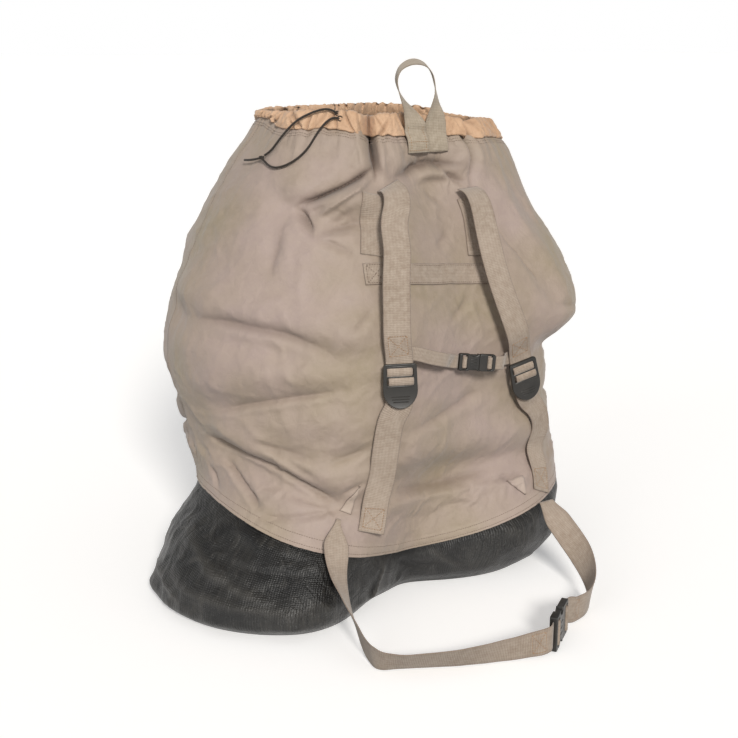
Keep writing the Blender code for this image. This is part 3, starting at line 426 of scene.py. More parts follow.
# One strand of cord as a curve of one spline, a little smoothed along its route.
def strand(name, route, node):
    points = np.array(route)
    for _ in range(2):
        points[1:-1] = 0.25 * points[:-2] + 0.5 * points[1:-1] + 0.25 * points[2:]
    points = alongPath(points, drawcord["step"])
    curve = bpy.data.curves.new(name, "CURVE")
    curve.dimensions = "3D"
    curve.bevel_depth = drawcord["radius"]
    curve.bevel_resolution = 4
    curve.use_fill_caps = True
    spline = curve.splines.new("POLY")
    spline.points.add(len(points) - 1)
    for point, place in zip(spline.points, points):
        point.co = (*place, 1.0)
    spline.use_smooth = True
    thing = addPiece(name, curve, braid, "cord", node)
    return points


# The knot as a three-lobed loop of the same cord, drawn tight.
def overhandKnot():
    t = np.linspace(0.0, 2 * math.pi, 72, endpoint=False)
    loop = np.stack([np.sin(t) + 2 * np.sin(2 * t), np.cos(t) - 2 * np.cos(2 * t), -1.2 * np.sin(3 * t)], 1)
    loop = loop * drawcord["knotSize"] * 0.62 + np.array(drawcord["knot"])
    rings = tube(loop, drawcord["radius"] * 0.95, 10, closed=True)
    mesh = meshFrom("drawcordKnot", [{"points": rings, "wrap": True}])
    return addPiece("drawcordKnot", mesh, braid, "cord", "drawcord_knot")


upperStrand = strand("drawcordUpper", drawcord["upper"], "drawcord_upper")
lowerStrand = strand("drawcordLower", drawcord["lower"], "drawcord_lower")
strand("drawcordTail", drawcord["tail"], "drawcord_tail")
overhandKnot()
print("scene: drawcord laid")

# The sack's form

# The girth at each height: height, middle x and y, then the reach to the right, back right,
# back, back left, left, front left, front and front right.
girths = np.array([
    (0.000, -0.095, 0.000, 0.308, 0.252, 0.172, 0.162, 0.308, 0.308, 0.172, 0.290),
    (0.012, -0.095, 0.000, 0.326, 0.266, 0.184, 0.174, 0.320, 0.324, 0.184, 0.308),
    (0.035, -0.095, 0.000, 0.345, 0.280, 0.200, 0.180, 0.315, 0.330, 0.190, 0.325),
    (0.080, -0.090, 0.000, 0.360, 0.290, 0.210, 0.190, 0.295, 0.310, 0.195, 0.330),
    (0.140, -0.060, 0.005, 0.350, 0.290, 0.215, 0.210, 0.270, 0.280, 0.200, 0.300),
    (0.200, -0.030, 0.010, 0.330, 0.290, 0.225, 0.245, 0.290, 0.285, 0.215, 0.275),
    (0.300, -0.005, 0.015, 0.295, 0.290, 0.235, 0.300, 0.335, 0.305, 0.220, 0.260),
    (0.400, 0.005, 0.020, 0.322, 0.280, 0.230, 0.310, 0.345, 0.305, 0.215, 0.290),
    (0.480, 0.010, 0.025, 0.300, 0.260, 0.215, 0.290, 0.315, 0.275, 0.190, 0.265),
    (0.560, 0.005, 0.030, 0.255, 0.220, 0.185, 0.250, 0.270, 0.235, 0.155, 0.220),
    (0.630, 0.000, 0.030, 0.225, 0.185, 0.145, 0.205, 0.220, 0.190, 0.130, 0.185),
    (0.670, -0.005, 0.030, 0.200, 0.160, 0.110, 0.165, 0.190, 0.165, 0.115, 0.165),
    (0.695, -0.005, 0.030, 0.188, 0.148, 0.103, 0.153, 0.178, 0.148, 0.108, 0.153)])
hemHeights = (0.102, 0.105, 0.110, 0.130, 0.150, 0.114, 0.066, 0.106)
rimHeights = (0.655, 0.668, 0.690, 0.692, 0.688, 0.690, 0.684, 0.674)

# Broad valleys: angle and height of both ends, half width, depth, and how far the cloth above stands out.
broadFolds = [
    (233, 0.605, 232, 0.668, 0.012, 0.014, 0.000), (298, 0.608, 304, 0.664, 0.012, 0.012, 0.000),
    (238, 0.596, 296, 0.590, 0.020, 0.014, 0.012), (205, 0.566, 230, 0.548, 0.020, 0.018, 0.010),
    (174, 0.411, 226, 0.374, 0.022, 0.014, 0.010), (188, 0.286, 225, 0.330, 0.024, 0.009, 0.006),
    (192, 0.225, 228, 0.168, 0.018, 0.013, 0.010), (250, 0.190, 305, 0.178, 0.024, 0.015, 0.012),
    (298, 0.535, 306, 0.430, 0.020, 0.012, 0.006), (310, 0.340, 350, 0.300, 0.024, 0.016, 0.012),
    (20, 0.380, 75, 0.340, 0.026, 0.013, 0.010), (45, 0.220, 110, 0.250, 0.026, 0.012, 0.008),
    (95, 0.500, 150, 0.460, 0.024, 0.014, 0.008), (110, 0.350, 160, 0.290, 0.024, 0.012, 0.008),
    (15, 0.560, 60, 0.540, 0.022, 0.010, 0.006)]
# Broad swellings and hollows: angle, height, half width, half height, rise.
swells = [
    (248, 0.010, 0.045, 0.060, -0.022), (322, 0.385, 0.080, 0.050, 0.014), (266, 0.640, 0.055, 0.030, 0.008),
    (160, 0.222, 0.085, 0.045, 0.015), (150, 0.050, 0.070, 0.050, 0.008), (60, 0.055, 0.080, 0.050, 0.008),
    (105, 0.040, 0.040, 0.060, -0.012)]


# Reach at each angle from the eight named directions, on a smooth closed curve.
def roundTheSack(reaches, angles):
    turn = np.mod(angles, 360.0) / 45.0
    index = np.floor(turn).astype(int)
    t = turn - index
    row = np.arange(len(angles))
    a, b, c, d = (reaches[row, (index + shift) % 8] for shift in (-1, 0, 1, 2))
    return 0.5 * (2 * b + (c - a) * t + (2 * a - 5 * b + 4 * c - d) * t ** 2
                  + (3 * b - a - 3 * c + d) * t ** 3)


def edgeHeight(edge, angles):
    angles = np.atleast_1d(np.asarray(angles, float))
    return roundTheSack(np.tile(edge, (len(angles), 1)), angles)


def turnBetween(angle, other):
    return (angle - other + 180.0) % 360.0 - 180.0


# The gathered mouth: rim heights in the eight directions, local rises (angle, spread, rise),
# how far the peach channel hangs below the rim, and the two deep slits (angle, half width, depth).
mouth = {"rim": (0.670, 0.689, 0.691, 0.689, 0.690, 0.691, 0.685, 0.677),
         "rises": [(211, 15, 0.0070), (232.5, 4.5, -0.0060), (304, 4.5, -0.0050), (262, 10, 0.0020),
                   (30, 12, 0.0030)],
         "drop": 0.0285,
         "drops": [(168, 20, -0.0190), (255, 14, 0.0030), (300, 10, -0.0030), (350, 22, 0.0040)],
         "slits": [(232.5, 0.0045, 0.0150), (304.0, 0.0042, 0.0130)],
         "pinches": [(176, 0.060, -0.0080), (352, 0.060, -0.0090)]}


def bells(table, angles):
    return sum(rise * np.exp(-(turnBetween(angles, at) / spread) ** 2) for at, spread, rise in table)


def mouthRim(angles):
    return edgeHeight(mouth["rim"], angles) + bells(mouth["rises"], angles)


def mouthDrop(angles):
    waver = np.array([0.6 * noise.noise((a * 0.11, 3.0, 0.0)) + 0.4 * noise.noise((a * 0.31, 8.0, 0.0))
                      for a in angles])
    return mouth["drop"] + bells(mouth["drops"], angles) + 0.0045 * waver


# Where the right side is drawn in from its plain girth: angle, height, spread each way and depth.
hollows = [(336, 0.362, 22.0, 0.036, 0.029), (330, 0.555, 24.0, 0.060, 0.008)]


# How far the slits and pinched ends move the mouth in, strongest at the rim, and the sides under it.
def mouthShift(angles, heights):
    near = softStep(heights, 0.625, 0.672)
    hollow = sum(depth * np.exp(-(turnBetween(angles, at) / turn) ** 2 - ((heights - height) / tall) ** 2)
                 for at, height, turn, tall, depth in hollows)
    move = np.zeros(len(angles))
    for at, width, depth in mouth["slits"]:
        off = np.radians(turnBetween(angles, at)) * 0.14
        swell = 0.22 * np.exp(-((np.abs(off) - 2.4 * width) / width) ** 2)
        move -= depth * (np.exp(-np.abs(off / width) ** 1.4) - swell)
    for at, width, depth in mouth["pinches"]:
        move += depth * np.exp(-(np.radians(turnBetween(angles, at)) * 0.18 / width) ** 2)
    return near * move - hollow


def softStep(value, low, high):
    t = np.clip((value - low) / (high - low), 0.0, 1.0)
    return t * t * (3 - 2 * t)


# How far broad folds, swellings and pleats move the cloth out of its smooth girth.
def broadRelief(angles, heights, radius, share=1.0):
    rise = np.zeros(len(angles))
    for angle1, height1, angle2, height2, halfWidth, depth, lip in broadFolds:
        run = np.radians(turnBetween(angle2, angle1)) * radius
        along = np.radians(turnBetween(angles, angle1)) * radius
        climb, up = height2 - height1, heights - height1
        length = np.hypot(run, climb)
        place = (along * run + up * climb) / length
        aside = (up * run - along * climb) / length * np.sign(run)
        past = np.maximum(0.0, np.maximum(-place, place - length))
        fade = np.exp(-(past / (1.5 * halfWidth)) ** 2)
        rise -= share * depth * fade * np.exp(-(aside / halfWidth) ** 2)
        rise += share * lip * fade * np.exp(-((aside / halfWidth - 1.7) / 1.2) ** 2)
    for angle, height, halfWidth, halfHeight, out in swells:
        along = np.radians(turnBetween(angles, angle)) * radius / halfWidth
        rise += out * np.exp(-along ** 2 - ((heights - height) / halfHeight) ** 2)
    below = edgeHeight(rimHeights, angles) - heights
    wave = np.cos(np.radians(13 * angles) + 0.9 * np.sin(np.radians(3 * angles)))
    return rise + 0.0045 * np.exp(-np.maximum(below, 0.0) / 0.045) * wave


def girthAt(angles, heights):
    row = smoothBetween(girths[:, 0], girths[:, 1:], heights)
    return row[:, :2], roundTheSack(row[:, 2:], angles), row[:, 2:].mean(axis=1)


# Points on the plain outer face of the sack.
def skin(angles, heights):
    angles = np.atleast_1d(np.asarray(angles, float))
    heights = np.broadcast_to(np.atleast_1d(np.asarray(heights, float)), angles.shape)
    middle, reach, radius = girthAt(angles, heights)
    reach = reach + broadRelief(angles, heights, radius)
    turn = np.radians(angles)
    return np.stack([middle[:, 0] + reach * np.cos(turn), middle[:, 1] + reach * np.sin(turn), heights], 1)


# A place on the sack: its point, the level direction, the way up the cloth and outward.
def skinFrame(angle, height):
    level = skin([angle - 2.0, angle + 2.0], height)
    rising = skin([angle, angle], [height - 0.008, height + 0.008])
    across = Vector(level[1] - level[0]).normalized()
    up = Vector(rising[1] - rising[0]).normalized()
    outward = across.cross(up).normalized()
    return Vector(skin([angle], height)[0]), across, outward.cross(across).normalized(), outward


def offSkin(angle, height, standoff):
    point, _, _, outward = skinFrame(angle, height)
    return point + outward * standoff


# Creases over the broad form, in five columns: half width above the line and below it, depth (a ridge is
# negative), how far the cloth above hangs over it, and its course as (angle, height) points.
creases = [
    (0.006, 0.006, 0.024, 0.000, [(232, 0.70), (234, 0.60)]),   # slit beside the drawcord
    (0.005, 0.005, 0.022, 0.000, [(305, 0.70), (297, 0.60)]),   # slit on the other side of the handle
    (0.020, 0.009, 0.019, 0.003, [(238, 0.60), (268, 0.62), (296, 0.61)]),   # shadow fold under the handle
    (0.006, 0.006, 0.012, 0.000, [(279, 0.61), (294, 0.58)]),
    (0.011, 0.005, 0.021, 0.003, [(205, 0.57), (218, 0.59), (234, 0.62)]),   # pointed flap, upper edge
    (0.005, 0.006, -0.010, 0.000, [(213, 0.555), (235, 0.61)]),
    (0.006, 0.004, 0.013, 0.000, [(205, 0.57), (215, 0.53)]),   # tip of the flap
    (0.009, 0.005, 0.009, 0.000, [(214, 0.535), (232, 0.55)]),   # lower edge of the flap
    (0.006, 0.005, 0.005, 0.000, [(214, 0.535), (228, 0.505)]),
    (0.016, 0.008, 0.006, 0.000, [(204, 0.56), (203, 0.465)]),
    (0.026, 0.008, 0.010, 0.003, [(176, 0.41), (196, 0.415), (215, 0.40), (228, 0.36)]),   # main fold, left
    (0.014, 0.014, -0.004, 0.000, [(171, 0.43), (203, 0.475)]),
    (0.015, 0.005, 0.006, 0.002, [(187, 0.28), (208, 0.315), (228, 0.335)]),
    (0.015, 0.006, 0.006, 0.001, [(202, 0.255), (224, 0.225)]),
    (0.012, 0.006, 0.006, 0.001, [(222, 0.225), (236, 0.25)]),
    (0.006, 0.004, 0.008, 0.000, [(184, 0.235), (204, 0.22), (230, 0.165)]),   # long fold down to the belt
    (0.006, 0.004, 0.004, 0.000, [(204, 0.255), (223, 0.20)]),
    (0.005, 0.004, 0.008, 0.000, [(190, 0.21), (208, 0.15)]),
    (0.004, 0.005, 0.004, 0.000, [(184, 0.195), (190, 0.155)]),
    (0.004, 0.004, 0.004, 0.000, [(206, 0.14), (230, 0.155)]),
    (0.023, 0.008, 0.010, 0.003, [(242, 0.175), (268, 0.16), (299, 0.17)]),   # fold low on the front
    (0.003, 0.003, 0.004, 0.000, [(299, 0.575), (296, 0.53), (304, 0.44)]),
    (0.010, 0.006, 0.004, 0.000, [(257, 0.395), (277, 0.435)]),
    (0.006, 0.006, 0.004, 0.000, [(261, 0.58), (278, 0.555)]),
    (0.008, 0.008, 0.004, 0.000, [(257, 0.50), (276, 0.53)]),
    (0.010, 0.006, 0.004, 0.002, [(305, 0.41), (323, 0.39)]),
    (0.006, 0.006, 0.004, 0.000, [(227, 0.405), (233, 0.445)]),
    (0.012, 0.008, 0.005, 0.001, [(243, 0.26), (284, 0.30)]),
    (0.006, 0.006, 0.004, 0.000, [(236, 0.20), (228, 0.18)]),
    (0.007, 0.004, 0.006, 0.000, [(293, 0.15), (308, 0.15)]),
    # From here on, folds on the sides that the photograph doesn't show.
    (0.020, 0.010, 0.006, 0.001, [(13, 0.505), (48, 0.455), (64, 0.46)]),
    (0.020, 0.010, 0.005, 0.001, [(18, 0.39), (77, 0.34)]),
    (0.018, 0.007, 0.008, 0.003, [(43, 0.22), (112, 0.25)]),
    (0.020, 0.010, 0.006, 0.001, [(93, 0.505), (135, 0.46), (152, 0.46)]),
    (0.018, 0.007, 0.008, 0.003, [(108, 0.35), (163, 0.29)]),
    (0.012, 0.006, 0.006, 0.001, [(330, 0.505), (351, 0.42)]),
    (0.012, 0.006, 0.006, 0.001, [(318, 0.25), (354, 0.235)]),
    (0.018, 0.008, 0.007, 0.002, [(308, 0.345), (352, 0.30)]),
    (0.009, 0.006, 0.007, 0.000, [(80, 0.605), (99, 0.52)]),
    (0.009, 0.006, 0.007, 0.000, [(148, 0.20), (173, 0.25)]),
    (0.009, 0.006, 0.007, 0.000, [(26, 0.62), (29, 0.545)]),
    (0.009, 0.006, 0.007, 0.000, [(120, 0.62), (121, 0.55)]),
    (0.008, 0.006, 0.006, 0.000, [(60, 0.30), (86, 0.29)]),
    (0.008, 0.006, 0.006, 0.000, [(4, 0.18), (36, 0.17)]),
    (0.007, 0.005, 0.006, 0.000, [(70, 0.18), (96, 0.15)]),
    (0.007, 0.005, 0.006, 0.000, [(128, 0.19), (146, 0.15)])]

# Short gathers under the collar: how many, and their usual reach, width and depth.
gathers = {"count": 46, "reach": (0.018, 0.055), "width": (0.0028, 0.0055), "depth": (0.0008, 0.0034)}
gatherRows = [(360.0 * (k + rng.uniform(-0.3, 0.3)) / gathers["count"], rng.uniform(-0.35, 0.35),
               rng.uniform(*gathers["reach"]), rng.uniform(*gathers["width"]), rng.uniform(*gathers["depth"]))
              for k in range(gathers["count"])]

# The cloth: how many columns and rows of points, hem depth, small wrinkles and the sewn seams.
sackCloth = {"columns": 400, "rows": 180, "hemRows": 9, "hemDepth": 0.015, "wall": 0.002,
             "underCollar": 0.0080, "broadShare": 0.8, "creaseDepth": 1.35,
             "slitDepth": 0.027, "slitShade": 0.9, "slitWidth": 0.0026,
             "wrinkle": 0.0021, "finger": 0.0010, "pucker": 0.0007,
             "seams": (168.0, 348.0), "seamDepth": 0.0016}


# Signed distance from a crease, and how far along it each point lies, from 0 to 1.
def creaseField(places, angles, heights, radius):
    line = np.array(places, float)
    line[:, 0] = turnBetween(line[:, 0], line[0, 0])
    line = alongPath(line * (1.0, 300.0), 3.0) / (1.0, 300.0) if len(line) > 2 else line
    across = np.radians(turnBetween(angles, places[0][0])) * radius
    nearest = np.full(len(angles), np.inf)
    side, place = np.ones(len(angles)), np.zeros(len(angles))
    lengths = [np.radians(b[0] - a[0]) * 0.27 for a, b in zip(line, line[1:])]
    lengths = [math.hypot(run, b[1] - a[1]) for run, a, b in zip(lengths, line, line[1:])]
    total, gone = sum(lengths), 0.0
    facing = 1.0 if line[-1, 0] >= line[0, 0] else -1.0
    for (a0, h0), (a1, h1), length in zip(line, line[1:], lengths):
        x0, run, climb = np.radians(a0) * radius, np.radians(a1 - a0) * radius, h1 - h0
        t = ((across - x0) * run + (heights - h0) * climb) / (run ** 2 + climb ** 2)
        t = np.clip(t, 0.0, 1.0)
        dx, dy = across - x0 - t * run, heights - h0 - t * climb
        far = np.hypot(dx, dy)
        closer = far < nearest
        nearest = np.where(closer, far, nearest)
        side = np.where(closer, np.sign(run * dy - climb * dx) * facing, side)
        place = np.where(closer, (gone + t * length) / total, place)
        gone += length
    return nearest * side, place, total


# Rise out of the plain form, slip down over creases, and the tone of the cloth: painted shade in creases and
# slits, painted highlights beside them and a paler hem.
def fineRelief(angles, heights, radius, plain):
    rise, slip, tone = np.zeros(len(angles)), np.zeros(len(angles)), np.zeros(len(angles))
    for over, under, depth, hang, places in creases:
        far, place, total = creaseField(places, angles, heights, radius)
        depth = depth * sackCloth["creaseDepth"]
        ends = min(0.45, 3.0 * (over + under) / total)
        fade = softStep(place, -0.02, ends) * softStep(1.0 - place, -0.02, ends)
        v = np.where(far > 0.0, far / over, far / under)
        rise -= depth * fade * np.exp(-np.abs(v) ** 1.2)
        rise += 0.22 * abs(depth) * fade * np.exp(-((v + 1.9) / 1.0) ** 2)
        slip -= hang * fade * np.exp(-((v - 0.5) / 0.5) ** 2)
        # Painted shade along each crease, darker for deeper creases, and a painted highlight on the ridge
        # beside it.
        tone -= 0.34 * min(max(depth / 0.010, 0.0), 3.5) * fade * np.exp(-(far / (0.25 * over + 0.0020)) ** 2)
        tone += 0.10 * fade * np.exp(-((v + 1.6) / 1.0) ** 2)
        # The deepest creases, the slits, also get a narrow dark line of painted shade.
        if depth > sackCloth["slitDepth"]:
            tone -= sackCloth["slitShade"] * np.sqrt(fade) * np.exp(-(far / sackCloth["slitWidth"]) ** 2)
    below = np.maximum(mouthRim(angles) - mouthDrop(angles) - heights, 0.0)
    for angle, slant, reach, width, depth in gatherRows:
        off = (np.radians(turnBetween(angles, angle)) * radius - slant * below) / (width + 0.12 * below)
        rise -= depth * np.exp(-off ** 2) * np.exp(-below / reach)
    above = heights - edgeHeight(hemHeights, angles)
    for angle in sackCloth["seams"]:
        off = np.radians(turnBetween(angles, angle)) * radius
        rise -= sackCloth["seamDepth"] * np.exp(-(off / 0.0018) ** 2)
        rise += 0.6 * sackCloth["seamDepth"] * np.exp(-((off - 0.0055) / 0.003) ** 2)
    hem = sackCloth["hemDepth"]
    rise += 0.0011 * (1.0 - softStep(above, hem - 0.002, hem + 0.001))
    # The two seams of the hem lie a little deeper, each as far from its edge.
    for seam in (hem - 0.003, 0.003):
        rise -= 0.0006 * np.exp(-((above - seam) / 0.0012) ** 2)
    tone += 0.18 * (1.0 - softStep(above, hem - 0.004, hem + 0.004))
    ripple = np.array([noise.noise((a * 1.15, h * 30.0, 4.0))
                       for a, h in zip(angles.tolist(), heights.tolist())])
    rise += sackCloth["pucker"] * ripple * np.exp(-(np.maximum(above - hem * 0.4, 0.0) / 0.014) ** 2)
    free = softStep(above, 0.0, 0.03) * softStep(below, -0.001, 0.02)
    small = np.zeros(len(angles))
    for k, p in enumerate(plain.tolist()):
        q = Vector(p)
        warp = noise.noise(q * 7.0) * 1.2
        ridge = 1.0 - abs(noise.noise(Vector((q.x * 15 + warp, q.y * 15 - warp, q.z * 19 + warp)))) * 2.0
        finger = 1.0 - abs(noise.noise(Vector((q.x * 42 - warp, q.y * 42, q.z * 36 + 2 * warp)))) * 2.0
        small[k] = sackCloth["wrinkle"] * ridge * abs(ridge) + sackCloth["finger"] * finger * abs(finger)
    return rise + small * (0.3 + 0.7 * free), slip * free, tone


# Points on the dressed cloth, with the tone of each.
def clothPoints(angles, heights):
    middle, reach, radius = girthAt(angles, heights)
    plain = np.stack([middle[:, 0] + reach * np.cos(np.radians(angles)),
                      middle[:, 1] + reach * np.sin(np.radians(angles)), heights], 1)
    rise, slip, tone = fineRelief(angles, heights, radius, plain)
    rise = rise + broadRelief(angles, heights, radius, sackCloth["broadShare"]) + mouthShift(angles, heights)
    lower = heights + slip
    middle, reach, _ = girthAt(angles, lower)
    reach = reach + rise
    turn = np.radians(angles)
    places = np.stack([middle[:, 0] + reach * np.cos(turn), middle[:, 1] + reach * np.sin(turn), lower], 1)
    return places, tone


# Angles all round, closer together on the strap side.
def unevenAngles(count):
    fine = np.linspace(0.0, 360.0, 3601)
    weight = 1.0 + 0.9 * np.exp(-(turnBetween(fine, 240.0) / 75.0) ** 4)
    total = np.concatenate([[0.0], np.cumsum(0.5 * (weight[1:] + weight[:-1]))])
    return np.interp(np.arange(count) / count * total[-1], total, fine)


# Cloth run on a coarser copy of the outer face: it is cut a little too large for its form, so it buckles
# into small wrinkles, and the moves go back to the fine face.
settling = {"every": 2, "frames": 14, "growth": 0.022, "mass": 0.12, "stiff": 12.0, "bend": 0.35, "push": 0.6,
            "gravity": 0.25, "most": 0.0045}


def settleCloth(points):
    rows = np.unique(np.append(np.arange(0, len(points), settling["every"]), len(points) - 1))
    coarse = points[rows][:, ::settling["every"]]
    mesh = meshFrom("clothDraft", [{"points": coarse, "wrap": True}])
    draft = bpy.data.objects.new("clothDraft", mesh)
    bpy.context.collection.objects.link(draft)
    held = draft.vertex_groups.new(name="held")
    columns = coarse.shape[1]
    for row in range(len(coarse)):
        share = min(max(row - 6, 0) / 8.0, (len(coarse) - 1 - row) / 7.0, 1.0)
        if share < 1.0:
            held.add(list(range(row * columns, (row + 1) * columns)), (1.0 - share) ** 2, "REPLACE")
    modifier = draft.modifiers.new("cloth", "CLOTH")
    cloth = modifier.settings
    cloth.quality, cloth.mass = 5, settling["mass"]
    cloth.tension_stiffness = cloth.compression_stiffness = settling["stiff"]
    cloth.shear_stiffness, cloth.bending_stiffness = settling["stiff"] * 0.5, settling["bend"]
    cloth.tension_damping = cloth.compression_damping = cloth.shear_damping = 5.0
    cloth.air_damping = 4.0
    cloth.vertex_group_mass = "held"
    cloth.shrink_min = -settling["growth"]
    cloth.use_pressure, cloth.uniform_pressure_force = True, settling["push"]
    cloth.effector_weights.gravity = settling["gravity"]
    modifier.collision_settings.use_collision = False
    scene = bpy.context.scene
    for step in range(1, settling["frames"] + 1):
        scene.frame_set(step)
    shaped = draft.evaluated_get(bpy.context.evaluated_depsgraph_get()).to_mesh()
    moved = np.empty(len(shaped.vertices) * 3)
    shaped.vertices.foreach_get("co", moved)
    moves = moved.reshape(coarse.shape) - coarse
    scene.frame_set(1)
    bpy.data.objects.remove(draft, do_unlink=True)
    size = np.linalg.norm(moves, axis=-1, keepdims=True)
    moves *= settling["most"] * np.tanh(size / settling["most"]) / np.maximum(size, 1e-9)
    print("scene: cloth settled, mean move %.1f mm, most %.1f mm" % (size.mean() * 1000, size.max() * 1000))
    closed = np.concatenate([moves, moves[:, :1]], axis=1)
    columnsAt = np.arange(points.shape[1]) / settling["every"]
    low = np.floor(columnsAt).astype(int)
    blend = (columnsAt - low)[None, :, None]
    wide = closed[:, low] * (1 - blend) + closed[:, np.minimum(low + 1, columns)] * blend
    out = smoothBetween(rows.astype(float), wide.reshape(len(rows), -1), np.arange(len(points), dtype=float))
    return out.reshape(points.shape)


# The inside of the cloth, at least its thickness behind every near point of the outer face.
def innerFace(points, angles):
    turn = np.radians(angles)
    outward = np.stack([np.cos(turn), np.sin(turn), np.zeros(len(turn))], 1)
    middle = points.mean(axis=1, keepdims=True) * (1.0, 1.0, 0.0)
    reach = ((points - middle) * outward[None]).sum(-1)
    least = reach.copy()
    for step in range(1, 5):
        least = np.minimum(least, np.minimum(np.pad(reach, ((step, 0), (0, 0)), mode="edge")[:-step],
                                             np.pad(reach, ((0, step), (0, 0)), mode="edge")[step:]))
    for step in (1, 2):
        least = np.minimum(least, np.minimum(np.roll(least, step, 1), np.roll(least, -step, 1)))
    sunk = points - outward[None] * (reach - least + sackCloth["wall"])[..., None]
    rows = np.unique(np.append(np.arange(0, len(points), 4), len(points) - 1))
    return sunk[rows][:, ::2]


def buildSack():
    angles = unevenAngles(sackCloth["columns"])
    hem = edgeHeight(hemHeights, angles)
    top = mouthRim(angles) - mouthDrop(angles) + sackCloth["underCollar"]
    shares = np.linspace(0.0, 1.0, sackCloth["hemRows"], endpoint=False)
    low = hem[None, :] + shares[:, None] * (sackCloth["hemDepth"] + 0.003)
    start = hem + sackCloth["hemDepth"] + 0.003
    upper = start[None, :] + np.linspace(0.0, 1.0, sackCloth["rows"])[:, None] * (top - start)[None, :]
    heights = np.concatenate([low, upper])
    count = len(heights)
    tiled = np.tile(angles, count)
    points, tone = clothPoints(tiled, heights.reshape(-1))
    points = points.reshape(count, -1, 3)
    tone = tone.reshape(count, -1)
    points = points + settleCloth(points)
    turn = np.radians(angles)
    inward = -np.stack([np.cos(turn), np.sin(turn), np.zeros(len(turn))], 1)
    tuck = softStep(np.arange(count), count - 9, count - 1)[:, None, None] * 0.0035
    points = points + tuck * inward[None]
    inner = innerFace(points, angles)
    edge = np.stack([points[10] + inward * sackCloth["wall"], points[0] + inward * sackCloth["wall"],
                     points[0] + inward * 0.0008 + (0.0, 0.0, -0.0006), points[0]])
    along = np.concatenate([angles, [angles[0] + 360.0]]) / 360.0 * 1.75
    wide = np.concatenate([points, points[:, :1]], 1)
    uv = np.stack([np.tile(along, (count, 1)), wide[..., 2]], -1)
    mesh = meshFrom("sackBody", [
        {"points": points, "wrap": True, "uv": uv, "tone": tone},
        # The inner face is painted darker all over: painted shade inside the sack.
        {"points": inner, "wrap": True, "flip": True, "tone": np.full(inner.shape[:2], -0.25)},
        {"points": edge, "wrap": True, "uv": uv[:4]}])
    addPiece("sackBody", mesh, cloth, "coated_cloth", "sack_body")
    return points


sackPoints = buildSack()
sackTree = treeOf(meshFrom("sackFace", [{"points": sackPoints, "wrap": True}]))
print("scene: sack built")


# The nearest point on the dressed cloth, lifted off it, and the way the cloth faces.
def onCloth(spot, lift=0.0):
    near, facing, _, _ = sackTree.find_nearest(Vector(spot))
    return near + facing * lift, facing


# Mesh bottom

meshBottom = {"wall": 0.0020, "columns": 300, "rows": 54, "floorRows": 10, "tuck": 0.0030, "overlap": 0.012,
              "lump": 0.0085, "ripple": 0.0022}
# Standing ridges and dents of the mesh: half width, rise, places (angle, height).
meshRidges = [
    (0.0040, 0.0065, [(254.5, 0.072), (252.5, 0.045), (249.5, 0.020), (247.0, 0.008)]),
    (0.0060, 0.0040, [(182, 0.120), (192, 0.100), (203, 0.078), (215, 0.060), (226, 0.052)]),
    (0.0070, 0.0035, [(186, 0.060), (200, 0.050), (216, 0.046), (232, 0.044)]),
    (0.0060, -0.0050, [(190, 0.092), (204, 0.088), (220, 0.086), (236, 0.080)]),
    (0.0050, 0.0035, [(276, 0.070), (282, 0.045), (290, 0.026)]),
    (0.0060, -0.0040, [(262, 0.060), (272, 0.040), (286, 0.030)]),
    (0.0060, 0.0040, [(168, 0.030), (178, 0.050), (190, 0.040), (200, 0.022)]),
    (0.0080, 0.0040, [(20, 0.080), (40, 0.060), (64, 0.056)]),
    (0.0080, 0.0040, [(100, 0.090), (118, 0.060), (140, 0.052)]),
    (0.0060, -0.0040, [(330, 0.080), (345, 0.055), (2, 0.050)])]


